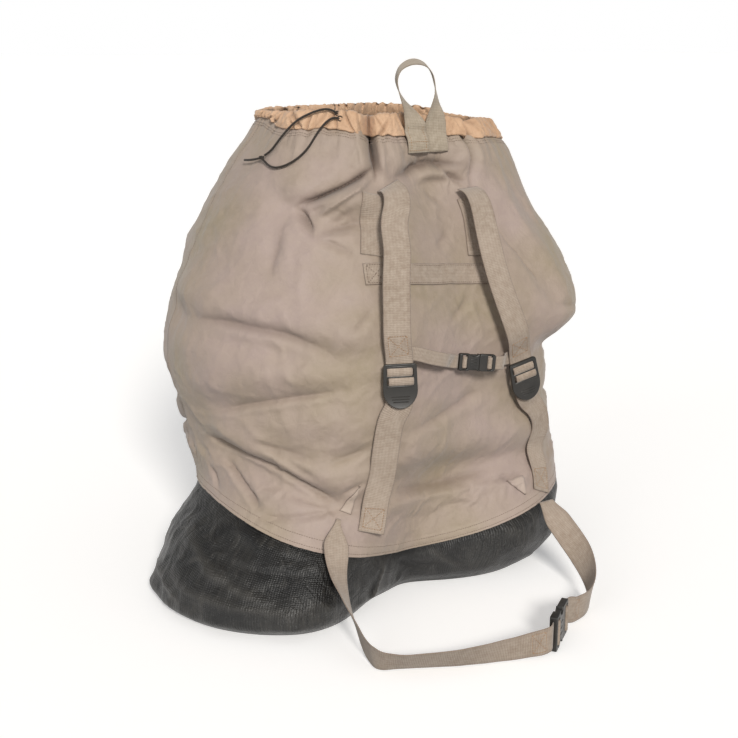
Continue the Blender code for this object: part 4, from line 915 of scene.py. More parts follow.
def buildMeshBottom():
    angles = unevenAngles(meshBottom["columns"])
    hem = edgeHeight(hemHeights, angles)
    top = hem + meshBottom["overlap"]
    shares = np.linspace(0.0, 1.0, meshBottom["rows"]) ** 1.15
    heights = shares[:, None] * top[None, :]
    count = len(heights)
    tiled, flat = np.tile(angles, count), heights.reshape(-1)
    middle, reach, radius = girthAt(tiled, flat)
    rise = broadRelief(tiled, flat, radius)
    tone = np.zeros(len(flat))
    clear = softStep(flat, 0.004, 0.022) * softStep(np.tile(hem, count) - flat, 0.0, 0.018)
    for width, out, places in meshRidges:
        far, place, _ = creaseField(places, tiled, flat, radius)
        fade = softStep(place, -0.02, 0.3) * softStep(1.0 - place, -0.02, 0.3)
        rise += clear * out * fade * np.exp(-np.abs(far / width) ** 1.4)
        # Painted highlight along each standing ridge, carried by the tone.
        tone += max(out, 0.0) / 0.0065 * 0.7 * fade * np.exp(-(far / (0.8 * width)) ** 2)
    plain = np.stack([middle[:, 0] + reach * np.cos(np.radians(tiled)),
                      middle[:, 1] + reach * np.sin(np.radians(tiled)), flat], 1)
    for k, p in enumerate(plain.tolist()):
        q = Vector(p)
        fold = 1.0 - 2.0 * abs(noise.noise(q * 17.0))
        lump = noise.noise(q * 11.0) + 0.55 * noise.noise(q * 24.0) + 0.3 * fold
        drag = 1.0 - 2.0 * abs(noise.noise(Vector((q.x * 40, q.y * 40, q.z * 22))))
        rise[k] += clear[k] * (meshBottom["lump"] * lump + meshBottom["ripple"] * drag)
    tucked = softStep(flat, np.tile(hem, count) - 0.010, np.tile(hem, count) - 0.001)
    reach = reach + rise - tucked * meshBottom["tuck"]
    turn = np.radians(tiled)
    points = np.stack([middle[:, 0] + reach * np.cos(turn), middle[:, 1] + reach * np.sin(turn), flat], 1)
    points = points.reshape(count, -1, 3)
    centre = points[0].mean(axis=0)
    shrink = np.linspace(0.0, 1.0, meshBottom["floorRows"], endpoint=False)[1:]
    floor = centre + (points[0] - centre)[None] * shrink[:, None, None]
    # The inner face of the mesh, one wall in from the outer one, so that it shows inside the open mouth too.
    within = points[::-3]
    wall = meshBottom["wall"]
    toward = unit((centre - within) * (1.0, 1.0, 0.0))
    within = within + toward * wall
    within[..., 2] = np.maximum(within[..., 2], wall)
    base = centre + (within[-1] - centre) * (1.0, 1.0, 0.0) + (0.0, 0.0, wall)
    base = centre + (0.0, 0.0, wall) + (base - centre - (0.0, 0.0, wall))[None] * shrink[::-1, None, None]
    points = np.concatenate([floor, points, within, base])
    tone = np.concatenate([np.zeros((len(floor), len(angles))), tone.reshape(count, -1),
                           np.zeros((len(within) + len(base), len(angles)))])
    climb = np.cumsum(np.linalg.norm(np.diff(points, axis=0, prepend=points[:1]), axis=2).mean(axis=1))
    along = np.concatenate([angles, [angles[0] + 360.0]]) / 360.0 * 1.7
    uv = np.stack([np.tile(along, (len(points), 1)), np.tile(climb[:, None], (1, len(along)))], -1)
    return meshFrom("meshBottom", [{"points": points, "wrap": True, "uv": uv, "tone": tone, "caps": (0, -1)}])


addPiece("meshBottom", buildMeshBottom(), knit, "mesh", "mesh_bottom")
print("scene: mesh bottom built")

# Collar

collarShape = {"columns": 1080, "puff": 0.0030, "overlap": 0.0005, "spacing": 3.1, "depth": (0.0013, 0.0068),
               "width": (0.0013, 0.0030), "slant": 0.9, "scallop": 0.0022, "rearDepth": 1.9, "slitShade": 0.9,
               "slitWidth": 0.0022, "slitReach": 0.16}


# Pucker lines round the channel: angle, slant, depth, width and whether it pinches high or low.
def pluckPuckers():
    rows, angle = [], 0.0
    while angle < 360.0:
        shallow, deepest = collarShape["depth"]
        deep = shallow + (deepest - shallow) * rng.random() ** 1.8
        rows.append((angle, rng.uniform(-collarShape["slant"], collarShape["slant"]), deep,
                     rng.uniform(*collarShape["width"]), rng.random()))
        angle += collarShape["spacing"] * rng.uniform(0.45, 1.55)
    return rows


collarPuckers = pluckPuckers()


# The depth of the puckers at a share of the channel's height, and the painted shade in their folds.
def puckerDepth(angles, share, turnOn=0.0):
    lift, tone = np.zeros(len(angles)), np.zeros(len(angles))
    for angle, slant, depth, width, kind in collarPuckers:
        off = np.radians(turnBetween(angles, angle + turnOn)) * 0.165 - slant * (share - 0.5) * mouth["drop"]
        deep = depth * (collarShape["rearDepth"] if 20.0 < angle < 190.0 else 1.0)
        high = 1.0 if kind < 0.35 else share ** 0.8 if kind < 0.7 else (1.0 - share) ** 0.8
        wide = width * (0.8 + 0.5 * abs(share - (1.0 if kind > 0.5 else 0.0)))
        lift -= deep * high * np.exp(-np.abs(off / wide) ** 1.25)
        lift += 0.22 * deep * high * np.exp(-((np.abs(off) - 2.3 * wide) / wide) ** 2)
        tone -= 0.7 * (deep / collarShape["depth"][1]) * high * np.exp(-(off / (0.8 * wide)) ** 2)
    return lift, tone


# The gathered channel: up its outer face, over the rim and down inside.
def buildCollar():
    angles = np.arange(collarShape["columns"]) * 360.0 / collarShape["columns"]
    rim, drop = mouthRim(angles), mouthDrop(angles)
    turn = np.radians(angles)
    outward = np.stack([np.cos(turn), np.sin(turn), np.zeros(len(turn))], 1)
    crumple = np.array([noise.noise((a * 0.55, 0.0, 2.0)) for a in angles])
    flutter = np.array([noise.noise((a * 0.16, 5.0, 2.0)) for a in angles])
    perWidth = collarShape["slitReach"] / collarShape["slitWidth"]
    slitShade = sum(np.exp(-(np.radians(turnBetween(angles, slit[0])) * perWidth) ** 2)
                    for slit in mouth["slits"])
    rows, tones = [], []

    def addRow(share, inset, strength, turnOn=0.0, dark=0.0, drawnIn=0.0):
        height = rim - drop * (1.0 - share)
        pucker, tone = puckerDepth(angles, share, turnOn)
        low = np.minimum(height, 0.694)
        lift = inset + strength * pucker + mouthShift(angles, low) + 0.0020 * flutter * share
        rise = share * collarShape["scallop"] * (crumple + pucker * 160.0 * 0.5)
        raised = np.stack([0 * rise, 0 * rise, rise - drawnIn], 1)
        rows.append(skin(angles, low) + outward * lift[:, None] + raised)
        # Tones: painted shade in the puckers, inside the channel and down the two slits.
        tones.append(strength * tone + dark - collarShape["slitShade"] * slitShade)

    addRow(0.0, -0.0040, 0.15, drawnIn=0.001)
    addRow(0.0, 0.0004, 0.30, drawnIn=collarShape["overlap"])
    for share in (0.05, 0.11, 0.20, 0.30, 0.41, 0.52, 0.63, 0.74, 0.84, 0.92):
        swell = math.sin(math.pi * min(share * 0.92 + 0.06, 1.0)) ** 0.6
        stitched = 0.0012 * math.exp(-((share - 0.11) / 0.04) ** 2)
        addRow(share, 0.0012 + collarShape["puff"] * swell - stitched, 0.35 + 0.75 * swell)
    addRow(1.0, 0.0004, 0.85, drawnIn=0.0006)
    # Over the rim and down inside the channel, with painted shade inside.
    addRow(1.0, -0.0022, 0.60, 0.6, -0.1, 0.0002)
    for share, inset in ((0.94, -0.0046), (0.82, -0.0062), (0.64, -0.0072), (0.44, -0.0074), (0.22, -0.0066),
                         (0.02, -0.0046)):
        addRow(share, inset, -0.45, 1.4, -0.2)
    points = np.array(rows)
    along = np.concatenate([angles, [360.0]]) / 360.0 * 1.1
    climb = np.cumsum(np.linalg.norm(np.diff(points, axis=0, prepend=points[:1]), axis=2).mean(axis=1))
    uv = np.stack([np.tile(along, (len(points), 1)), np.tile(climb[:, None], (1, len(along)))], -1)
    return meshFrom("gatheredCollar", [{"points": points, "wrap": True, "uv": uv, "tone": np.array(tones)}])


collarMesh = buildCollar()
addPiece("gatheredCollar", collarMesh, peach, "collar_cloth", "collar")
collarTree = treeOf(collarMesh)
print("scene: collar built")

# Webbing

webbingShape = {"width": 0.038, "thickness": 0.0016, "step": 0.0035, "edge": 0.0016, "clearance": 0.0004,
                "waver": 0.0004, "smoothing": 14}


# Across and up of one round of the webbing, thin and rolled at both edges.
def stripProfile(width, thickness):
    half, t = width * 0.5, thickness * 0.5
    edge = webbingShape["edge"]
    flat = np.linspace(-half + edge, half - edge, 9)
    top = [(x, t * (0.92 + 0.08 * math.cos(3 * math.pi * x / half))) for x in flat]
    right = [(half - edge * 0.4, t * 0.85), (half, 0.0), (half - edge * 0.4, -t * 0.85)]
    bottom = [(x, -t) for x in flat[::-1]]
    left = [(-x, z) for x, z in right[::-1]]
    return np.array(top + right + bottom + left)


# Middle, across and outward every few millimetres along the stations.
def stripRun(stations, step=None):
    middles = np.array([s[0] for s in stations], float)
    travel = np.concatenate([[0.0], np.cumsum(np.linalg.norm(np.diff(middles, axis=0), axis=1))])
    count = max(3, round(travel[-1] / (step or webbingShape["step"])))
    wanted = np.linspace(0.0, travel[-1], count + 1)
    middle = smoothBetween(travel, middles, wanted)
    across = unit(smoothBetween(travel, np.array([s[1] for s in stations], float), wanted))
    ahead = unit(np.gradient(middle, axis=0))
    across = unit(across - ahead * (across * ahead).sum(1)[:, None])
    return {"middle": middle, "across": across, "outward": np.cross(across, ahead), "travel": wanted,
            "ahead": ahead}


# Moves a run of webbing outward where it would touch the cloth behind it, then smooths it.
def clearOf(run, width, trees, lift, reach=9):
    lack = np.zeros(len(run["middle"]))
    for side in np.linspace(-0.5, 0.5, 7):
        for k, (m, a) in enumerate(zip(run["middle"], run["across"])):
            spot = Vector(m + a * side * width)
            for tree in trees:
                near, facing, _, far = tree.find_nearest(spot)
                if far < 0.03:
                    lack[k] = max(lack[k], lift - (spot - near).dot(facing))
    spread = np.array([lack[max(0, k - reach):k + reach + 1].max() for k in range(len(lack))])
    bell = np.hanning(2 * reach + 3)[1:-1] / (reach + 1)
    spread = np.convolve(np.pad(spread, reach, mode="edge"), bell, mode="valid")
    middle = run["middle"] + run["outward"] * np.maximum(spread, 0.0)[:, None]
    for _ in range(webbingShape["smoothing"]):
        middle[1:-1] = 0.25 * middle[:-2] + 0.5 * middle[1:-1] + 0.25 * middle[2:]
    run["middle"] = middle
    return run


# Rings of points round a run of webbing, with its cut as u across and v along.
def stripRings(run, width, thickness, seed=0.0, taper=None):
    profile = stripProfile(width, thickness)
    waver = np.array([noise.noise((t * 35.0, seed, 1.0)) for t in run["travel"]]) * webbingShape["waver"]
    narrow = np.ones(len(waver)) if taper is None else np.asarray(taper)
    rings = (run["middle"][:, None] + run["across"][:, None] * profile[None, :, :1] * narrow[:, None, None]
             + run["outward"][:, None] * (profile[None, :, 1:] + waver[:, None, None]))
    uv = np.empty((len(rings), len(profile) + 1, 2))
    uv[..., 0] = np.append(profile[:, 0], profile[0, 0])[None]
    uv[..., 1] = run["travel"][:, None]
    tone = np.tile(-softStep(np.abs(profile[:, 0]), width * 0.43, width * 0.5) * 0.9, (len(rings), 1))
    return {"points": rings, "wrap": True, "uv": uv, "tone": tone, "caps": (0, -1)}


# Webbing or cloth sewn down: every point of it sits on the cloth below.
def laidRings(run, width, thickness, trees):
    strip = stripRings(run, width, thickness)
    profile = stripProfile(width, thickness)
    points = strip["points"].copy()
    for i in range(len(points)):
        o = run["outward"][i]
        for j, (x, z) in enumerate(profile):
            spot = run["middle"][i] + run["across"][i] * x
            best = None
            for tree in trees:
                hit = tree.ray_cast(Vector(spot + o * 0.03), Vector(-o), 0.08)[0]
                if hit is not None:
                    reach = (np.array(hit) - spot) @ o
                    best = reach if best is None else max(best, reach)
            points[i, j] = spot + o * ((best or 0.0) + webbingShape["clearance"] + thickness * 0.5 + z)
    strip["points"] = points
    return strip


def faced(outward, facing):
    level = math.hypot(outward.x, outward.y)
    turn = math.radians(facing)
    return Vector((level * math.cos(turn), level * math.sin(turn), outward.z))


# World matrix of a piece on the sack: X across, Y up the cloth, Z outward.
def placing(angle, height, standoff, facing, turn):
    outward = faced(skinFrame(angle, height)[3], facing)
    across = Vector((0.0, 0.0, 1.0)).cross(outward).normalized()
    turned = Matrix.Rotation(math.radians(turn), 3, outward)
    axes = Matrix((turned @ across, turned @ outward.cross(across), outward)).transposed()
    return Matrix.Translation(offSkin(angle, height, standoff)) @ axes.to_4x4()


# Stations of a strap from points and the way it faces at each.
def stationsFrom(places):
    middles = [np.array(point) for point, _ in places]
    rows = []
    for k, (point, outward) in enumerate(places):
        ahead = middles[min(k + 1, len(middles) - 1)] - middles[max(k - 1, 0)]
        rows.append((middles[k], -unit(np.cross(np.array(outward), ahead))))
    return rows


def onSack(places):
    return [(offSkin(angle, height, off), faced(skinFrame(angle, height)[3], facing))
            for angle, height, off, facing in places]


def behind(place, spots, depth):
    matrix = placing(*place)
    outward = matrix.to_3x3() @ Vector((0.0, 0.0, 1.0))
    return [(matrix @ Vector((x, y, -depth)), outward) for x, y in spots]


# Places on the sack: angle, height, distance off it and the way the webbing faces.
shoulderLeft = [(238.5, 0.588, 0.0060, 246), (239.0, 0.580, 0.0170, 246), (239.0, 0.562, 0.0240, 245),
                (238.0, 0.535, 0.0280, 244), (236.5, 0.500, 0.0300, 243), (236.0, 0.460, 0.0280, 242),
                (236.2, 0.425, 0.0250, 242), (236.8, 0.392, 0.0225, 242)]
shoulderRight = [(289.5, 0.574, 0.0060, 268), (289.0, 0.566, 0.0170, 267), (287.5, 0.547, 0.0240, 265),
                 (285.0, 0.520, 0.0280, 262), (282.5, 0.485, 0.0300, 260), (282.5, 0.445, 0.0290, 260),
                 (284.8, 0.405, 0.0270, 260), (288.3, 0.370, 0.0250, 260)]
lowerLeft = [(238.0, 0.290, 0.0115, 244), (237.8, 0.262, 0.0095, 244), (238.2, 0.235, 0.0075, 244),
             (239.0, 0.200, 0.0060, 244), (240.0, 0.165, 0.0050, 246), (241.5, 0.142, 0.0040, 246),
             (242.6, 0.121, 0.0030, 246)]
lowerRight = [(302.3, 0.254, 0.0135, 264), (306.0, 0.232, 0.0100, 268), (309.2, 0.206, 0.0075, 273),
              (311.3, 0.180, 0.0055, 277), (312.5, 0.152, 0.0032, 281), (312.6, 0.132, 0.0020, 284),
              (312.0, 0.116, 0.0010, 286)]
sternumLeft = [(247.0, 0.364, 0.0240, 247), (252.5, 0.356, 0.0265, 249)]
# Adjusters and the chest buckle: angle, height, distance off, facing and turn.
lockLeft = (238.6, 0.3335, 0.0185, 243, 1.0)
lockRight = (295.2, 0.3000, 0.0225, 260, 14.0)
sternumPlace = (267.2, 0.3425, 0.0275, 251, -6.0)
lockThickness, strapClear, sternumWidth = 0.0045, 0.0013, 0.020
sternumReach, sternumStraight = 0.0286, 0.008
behindLock = lockThickness * 0.5 + strapClear
behindStrap = lockThickness * 0.5 + 2.0 * strapClear + webbingShape["thickness"] * 0.5


def hungStrap(name, places, width, node, extra=()):
    run = clearOf(stripRun(stationsFrom(places)), width, [sackTree], webbingShape["clearance"] + 0.0008)
    mesh = meshFrom(name, [stripRings(run, width, webbingShape["thickness"], len(name))] + list(extra))
    addPiece(name, mesh, webbing, "webbing", node)
    return run


# Webbing that rolls over a bar: an arc across the piece that the matrix places.
def rollOver(matrix, middle, size, width, wraps=(205.0, -25.0)):
    turns = np.radians(np.linspace(wraps[0], wraps[1], 9))
    stations = [(np.array(matrix @ Vector((middle[0], middle[1] + size[0] * math.cos(t),
                                           middle[2] + size[1] * math.sin(t)))),
                 np.array(matrix.to_3x3() @ Vector((1.0, 0.0, 0.0)))) for t in turns]
    return stripRings(stripRun(stations, 0.0012), width, webbingShape["thickness"], 3.0)


# The two turns of webbing seen in the windows of a ladder adjuster.
def lockRolls(matrix):
    return [rollOver(matrix, (-0.0010, 0.0195, -0.0002), (0.0062, 0.0042), 0.0350),
            rollOver(matrix, (0.0012, 0.0066, -0.0002), (0.0060, 0.0040), 0.0350)]


lockMatrices = {"left": placing(*lockLeft), "right": placing(*lockRight)}
straps = {}
for side, lock, shoulder, lower in (("Left", lockLeft, shoulderLeft, lowerLeft),
                                    ("Right", lockRight, shoulderRight, lowerRight)):
    matrix = lockMatrices[side.lower()]
    straps["shoulder" + side] = hungStrap(
        "shoulderStrap" + side, onSack(shoulder) + behind(lock, ((0.0, 0.040), (0.0, 0.024)), behindLock),
        webbingShape["width"], "shoulder_strap_" + side.lower(), lockRolls(matrix))
    straps["lower" + side] = hungStrap(
        "lowerStrap" + side, behind(lock, ((0.0, -0.006), (0.0, -0.028)), behindLock) + onSack(lower),
        webbingShape["width"], "lower_strap_" + side.lower())
sternumMatrix = placing(*sternumPlace)
hungStrap("sternumStrapLeft",
          behind(lockLeft, ((-0.004, 0.0445), (0.022, 0.0430)), behindStrap) + onSack(sternumLeft)
          + behind(sternumPlace, [(-sternumReach - sternumStraight, 0.0), (-sternumReach, 0.0)], 0.0),
          sternumWidth, "sternum_strap_left")
hungStrap("sternumStrapRight",
          behind(sternumPlace, [(sternumReach, 0.0), (sternumReach + sternumStraight, 0.0)], 0.0)
          + behind(lockRight, ((-0.022, 0.0420), (0.0, 0.0370)), behindStrap),
          sternumWidth, "sternum_strap_right")
print("scene: straps hung")

# Webbing sewn flat on the sack, and the belt tabs

upperBand = {"width": 0.031, "places": [(229.5, 0.481), (236.0, 0.480), (243.0, 0.476), (250.0, 0.472),
                                        (257.0, 0.468), (264.0, 0.465), (271.0, 0.462), (278.0, 0.460),
                                        (285.0, 0.459), (290.0, 0.458)]}
innerLeft = [(233.6, 0.583), (233.2, 0.560), (232.8, 0.535), (232.6, 0.515), (232.4, 0.504)]
innerRight = [(288.6, 0.566), (287.4, 0.545), (285.2, 0.520), (283.0, 0.500), (281.6, 0.484)]
tabLeft = [(234.2, 0.192), (230.4, 0.156), (234.4, 0.150)]
tabRight = [(305.5, 0.119), (305.5, 0.146), (299.0, 0.143)]


def sewnBand(name, places, width, node):
    frames = [skinFrame(*place) for place in places]
    run = stripRun(stationsFrom([(f[0], f[3]) for f in frames]))
    mesh = meshFrom(name, [laidRings(run, width, webbingShape["thickness"], [sackTree])])
    addPiece(name, mesh, webbing, "webbing", node)
    return run


bandRun = sewnBand("upperBand", upperBand["places"], upperBand["width"], "upper_band")
sewnBand("innerStrapLeft", innerLeft, webbingShape["width"], "inner_strap_left")
sewnBand("innerStrapRight", innerRight, webbingShape["width"], "inner_strap_right")


# A three-cornered tab of folded cloth that lies on the sack, with rounded edges.
def clothTab(name, corners, node):
    tip, left, right = [np.array(offSkin(*corner, 0.0)) for corner in corners]
    rows, columns = 22, 15
    outer, inner, shades = [], [], []
    for i in range(rows):
        share = 0.05 + 0.95 * i / (rows - 1)
        low, high = [], []
        for j in range(columns):
            side = j / (columns - 1)
            near, facing = onCloth(tip + (left + (right - left) * side - tip) * share)
            rim = min(1.0, 5.0 * min(side, 1.0 - side, 1.0 - i / (rows - 1) + 0.02, share) + 0.15)
            lift = 0.0008 + 0.0024 * math.sqrt(rim)
            high.append(near + facing * lift)
            low.append(near + facing * 0.0003)
        # Tone on the tab: paler across the middle of its top, painted shade along its edges and tip and on
        # its underside.
        edge = np.abs(np.linspace(-1.0, 1.0, columns)) ** 6 + (i < 2)
        shades.append(np.concatenate([0.75 - 1.5 * np.minimum(edge, 1.0), np.full(columns, -0.8)]))
        outer.append(high)
        inner.append(low)
    top, under = np.array(outer), np.array(inner)
    ring = [np.concatenate([top[i], under[i][::-1]]) for i in range(rows)]
    uv = np.zeros((rows, 2 * columns + 1, 2))
    uv[..., 0] = np.concatenate([np.linspace(0, 0.03, columns), np.linspace(0.03, 0, columns), [0.0]])[None]
    uv[..., 1] = np.linspace(0, 0.04, rows)[:, None]
    part = {"points": np.array(ring), "wrap": True, "uv": uv, "tone": np.array(shades), "caps": (0, -1)}
    mesh = meshFrom(name, [part])
    return addPiece(name, mesh, cloth, "coated_cloth", node)


clothTab("beltTabLeft", tabLeft, "belt_tab_left")
clothTab("beltTabRight", tabRight, "belt_tab_right")
print("scene: bands and tabs sewn")

# Waist belt

beltBuckle = {"place": (-0.0270, -0.4410, 0.0258), "turn": 33.0, "size": (0.066, 0.051, 0.011),
              "straight": 0.012,
              "pinched": (0.60, 0.18)}   # how narrow the belt is gathered where it is sewn in, right and left
beltMatrix = (Matrix.Translation(beltBuckle["place"])
              @ Matrix.Rotation(math.radians(beltBuckle["turn"]), 4, "Z")
              @ Matrix.Rotation(math.pi / 2, 4, "X"))
# The middle line of the belt and the lean of its width, 0 upright and 90 lying flat.
beltLeft = [
    (-0.2285, -0.2080, 0.148, 56), (-0.2335, -0.2115, 0.140, 60), (-0.2410, -0.2205, 0.127, 66),
    (-0.2486, -0.2320, 0.112, 66), (-0.2568, -0.2490, 0.086, 52), (-0.2600, -0.2690, 0.062, 38),
    (-0.2635, -0.2910, 0.044, 26),
    (-0.2700, -0.3210, 0.0275, 14), (-0.2760, -0.3480, 0.0200, 12), (-0.2780, -0.3630, 0.0190, 14),
    (-0.2740, -0.3750, 0.0182, 24), (-0.2600, -0.3860, 0.0174, 33), (-0.2250, -0.4050, 0.0170, 34),
    (-0.1920, -0.4220, 0.0176, 30), (-0.1550, -0.4370, 0.0184, 22), (-0.1180, -0.4490, 0.0198, 12),
    (-0.0960, -0.4580, 0.0225, 6), (-0.0790, -0.4650, 0.0245, 0)]
beltRight = [
    (0.0300, -0.4130, 0.0205, 0), (0.0550, -0.4080, 0.0195, 4), (0.0790, -0.3950, 0.0225, 9),
    (0.0950, -0.3790, 0.0320, 16), (0.1080, -0.3570, 0.0440, 26), (0.1150, -0.3340, 0.0580, 37),
    (0.1160, -0.3110, 0.0740, 48), (0.1160, -0.2860, 0.0910, 60), (0.1190, -0.2640, 0.1040, 72),
    (0.1230, -0.2500, 0.1100, 80)]


def buildBelt(name, table, end, node):
    middles = [Vector(row[:3]) for row in table]
    leans = [math.radians(row[3]) for row in table]
    face = beltBuckle["size"][0] * 0.5 + 0.0006
    into = [beltMatrix @ Vector((end * reach, 0.0, 0.0)) for reach in (face, face + beltBuckle["straight"])]
    if end < 0:
        middles, leans = middles + into[::-1], leans + [0.0, 0.0]
    else:
        middles, leans = into + middles, [0.0, 0.0] + leans
    stations = []
    for k, lean in enumerate(leans):
        ahead = (middles[min(k + 1, len(middles) - 1)] - middles[max(k - 1, 0)]).normalized()
        upright = (Vector((0, 0, 1)) - ahead * ahead.z).normalized()
        across = upright * math.cos(lean) + ahead.cross(upright) * math.sin(lean)
        stations.append((np.array(middles[k]), np.array(across)))
    run = stripRun(stations)
    width = webbingShape["width"]
    floor = run["middle"][:, 2] - np.abs(run["across"][:, 2]) * width * 0.5 - 0.0006
    run["middle"][:, 2] += np.maximum(0.0005 - floor, 0.0)
    near = slice(0, 12) if end < 0 else slice(len(run["middle"]) - 12, None)
    part = {key: value[near] for key, value in run.items()}
    side = 1.0 if (part["outward"] * unit(part["middle"] - (-0.05, 0.0, 0.2))).sum() > 0 else -1.0
    part["outward"] = part["outward"] * side
    lifted = clearOf(part, width, [sackTree], webbingShape["clearance"] + 0.0008)["middle"]
    moved = lifted - run["middle"][near]
    fade = np.linspace(1.0, 0.0, 12)[:, None] if end < 0 else np.linspace(0.0, 1.0, 12)[:, None]
    run["middle"][near] += moved * np.minimum(fade * 3.0, 1.0)
    gone = run["travel"] if end < 0 else run["travel"][-1] - run["travel"]
    pinched = beltBuckle["pinched"][end < 0]
    taper = pinched + (1.0 - pinched) * softStep(gone, 0.0, 0.042)
    mesh = meshFrom(name, [stripRings(run, width, webbingShape["thickness"], len(name), taper)])
    addPiece(name, mesh, webbing, "webbing", node)
    return run


beltRuns = [buildBelt("beltLeft", beltLeft, -1, "belt_left"),
            buildBelt("beltRight", beltRight, 1, "belt_right")]
print("scene: belt laid")

# Haul handle

haulHandle = {"endsX": (-0.0228, 0.0162), "heights": (0.632, 0.642, 0.652, 0.662, 0.672), "clearance": 0.0014,
              # middle of the webbing, turn of its width, lift of its rear edge and how narrow it curls
              "loop": [(-0.0262, -0.1015, 0.6820, 4, 0, 0.86), (-0.0315, -0.0995, 0.6930, 22, 0, 0.76),
                       (-0.0390, -0.0962, 0.7050, 42, 0, 0.68), (-0.0455, -0.0932, 0.7200, 56, 2, 0.62),
                       (-0.0480, -0.0912, 0.7360, 62, 5, 0.62), (-0.0420, -0.0900, 0.7490, 62, 10, 0.66),
                       (-0.0285, -0.0900, 0.7570, 62, 15, 0.70), (-0.0115, -0.0900, 0.7590, 62, 16, 0.70),
                       (0.0050, -0.0900, 0.7545, 62, 12, 0.68), (0.0155, -0.0900, 0.7440, 60, 8, 0.64),
                       (0.0202, -0.0912, 0.7290, 56, 3, 0.62), (0.0208, -0.0942, 0.7130, 46, 0, 0.66),
                       (0.0182, -0.0975, 0.6990, 28, 0, 0.74), (0.0168, -0.1005, 0.6870, 8, 0, 0.84)]}


# How far forward the cloth and the collar reach behind a level stretch of the handle.
def frontOf(x, z):
    reach = []
    for across in np.linspace(-0.019, 0.019, 7):
        for rise in (-0.008, 0.0, 0.008):
            for tree in (sackTree, collarTree):
                hit = tree.ray_cast(Vector((x + across, -1.0, z + rise)), Vector((0.0, 1.0, 0.0)))[0]
                if hit is not None:
                    reach.append(hit.y)
    return min(reach)


def buildHandle():
    rows = []
    for x, heights in zip(haulHandle["endsX"], (haulHandle["heights"], haulHandle["heights"][::-1])):
        seated = [(x, frontOf(x, z) - haulHandle["clearance"], z, 0, 0, 1.0) for z in heights]
        rows += seated if rows else seated + haulHandle["loop"]
    stations = []
    for x, y, z, turn, lean, _ in rows:
        turn, lean = math.radians(turn), math.radians(lean)
        stations.append((np.array((x, y, z)), np.array((math.cos(turn) * math.cos(lean),
                                                        math.sin(turn) * math.cos(lean), math.sin(lean)))))
    middles = np.array([s[0] for s in stations])
    travel = np.concatenate([[0.0], np.cumsum(np.linalg.norm(np.diff(middles, axis=0), axis=1))])
    wanted = np.linspace(0.0, travel[-1], round(travel[-1] / 0.003))
    middle = smoothBetween(travel, middles, wanted)
    across = unit(smoothBetween(travel, np.array([s[1] for s in stations]), wanted))
    ahead = unit(np.gradient(middle, axis=0))
    run = {"middle": middle, "across": across, "outward": unit(np.cross(across, ahead)), "travel": wanted,
           "ahead": ahead}
    taper = smoothBetween(travel, np.array([[row[5]] for row in rows]), wanted)[:, 0]
    mesh = meshFrom("haulHandle",
                    [stripRings(run, webbingShape["width"], webbingShape["thickness"], 5.0, taper)])
    addPiece("haulHandle", mesh, handleWeb, "webbing", "haul_handle")
    return run


handleRun = buildHandle()
print("scene: handle looped")

# Adjusters and buckles

ladderLock = {"width": 0.046, "length": 0.062, "thickness": 0.0045, "corner": 0.004, "tabDrop": 0.006,
              "flare": 0.001, "windows": (0.0195, 0.0065), "window": (0.036, 0.009), "edge": 0.0009,
              "curl": 0.0035, "ridges": (-0.0150, -0.0185, -0.0220), "barRadius": 0.0020}


def arcPoints(middle, radius, start, end, steps):
    turns = np.radians(np.linspace(start, end, steps + 1))
    return [(middle[0] + radius[0] * math.cos(t), middle[1] + radius[1] * math.sin(t)) for t in turns]


# A closed outline of a rectangle with rounded corners.
def roundedBox(middle, size, corner, steps=4):
    hx, hy = size[0] * 0.5 - corner, size[1] * 0.5 - corner
    points = []
    for k, (sx, sy) in enumerate(((1, 1), (-1, 1), (-1, -1), (1, -1))):
        points += arcPoints((middle[0] + sx * hx, middle[1] + sy * hy), (corner, corner), 90 * k,
                            90 * k + 90, steps)
    return points


# A flat plate with softened edges from closed outlines, inner ones being windows, as points and faces.
def plate(outlines, thickness, edge, depth=0.0):
    curve = bpy.data.curves.new("plate", "CURVE")
    curve.dimensions = "2D"
    curve.fill_mode = "BOTH"
    curve.extrude = thickness * 0.5 - edge
    curve.bevel_depth = edge
    curve.bevel_resolution = 2
    curve.offset = -edge
    for outline in outlines:
        spline = curve.splines.new("POLY")
        spline.points.add(len(outline) - 1)
        for point, (x, y) in zip(spline.points, outline):
            point.co = (x, y, 0.0, 1.0)
        spline.use_cyclic_u = True
    draft = bpy.data.objects.new("plate", curve)
    bpy.context.collection.objects.link(draft)
    bpy.context.view_layer.update()
    mesh = bpy.data.meshes.new_from_object(draft.evaluated_get(bpy.context.evaluated_depsgraph_get()))
    bpy.data.objects.remove(draft, do_unlink=True)
    points = np.array([v.co for v in mesh.vertices]) + (0.0, 0.0, depth)
    faces = [list(p.vertices) for p in mesh.polygons]
    bpy.data.meshes.remove(mesh)
    return points, faces


# A bar with rounded ends, as points and faces.
def capsule(start, end, radius, sides=8):
    start, end = np.array(start, float), np.array(end, float)
    way = unit(end - start)
    path = [start - way * radius * 0.9, start - way * radius * 0.5, start,
            end, end + way * radius * 0.5, end + way * radius * 0.9]
    rings = tube(path, np.array([0.35, 0.8, 1.0, 1.0, 0.8, 0.35]) * radius, sides)
    faces = gridFaces(len(rings), sides, True).tolist()
    faces += [list(range(sides))[::-1], [len(rings) * sides - sides + c for c in range(sides)]]
    return rings.reshape(-1, 3), faces


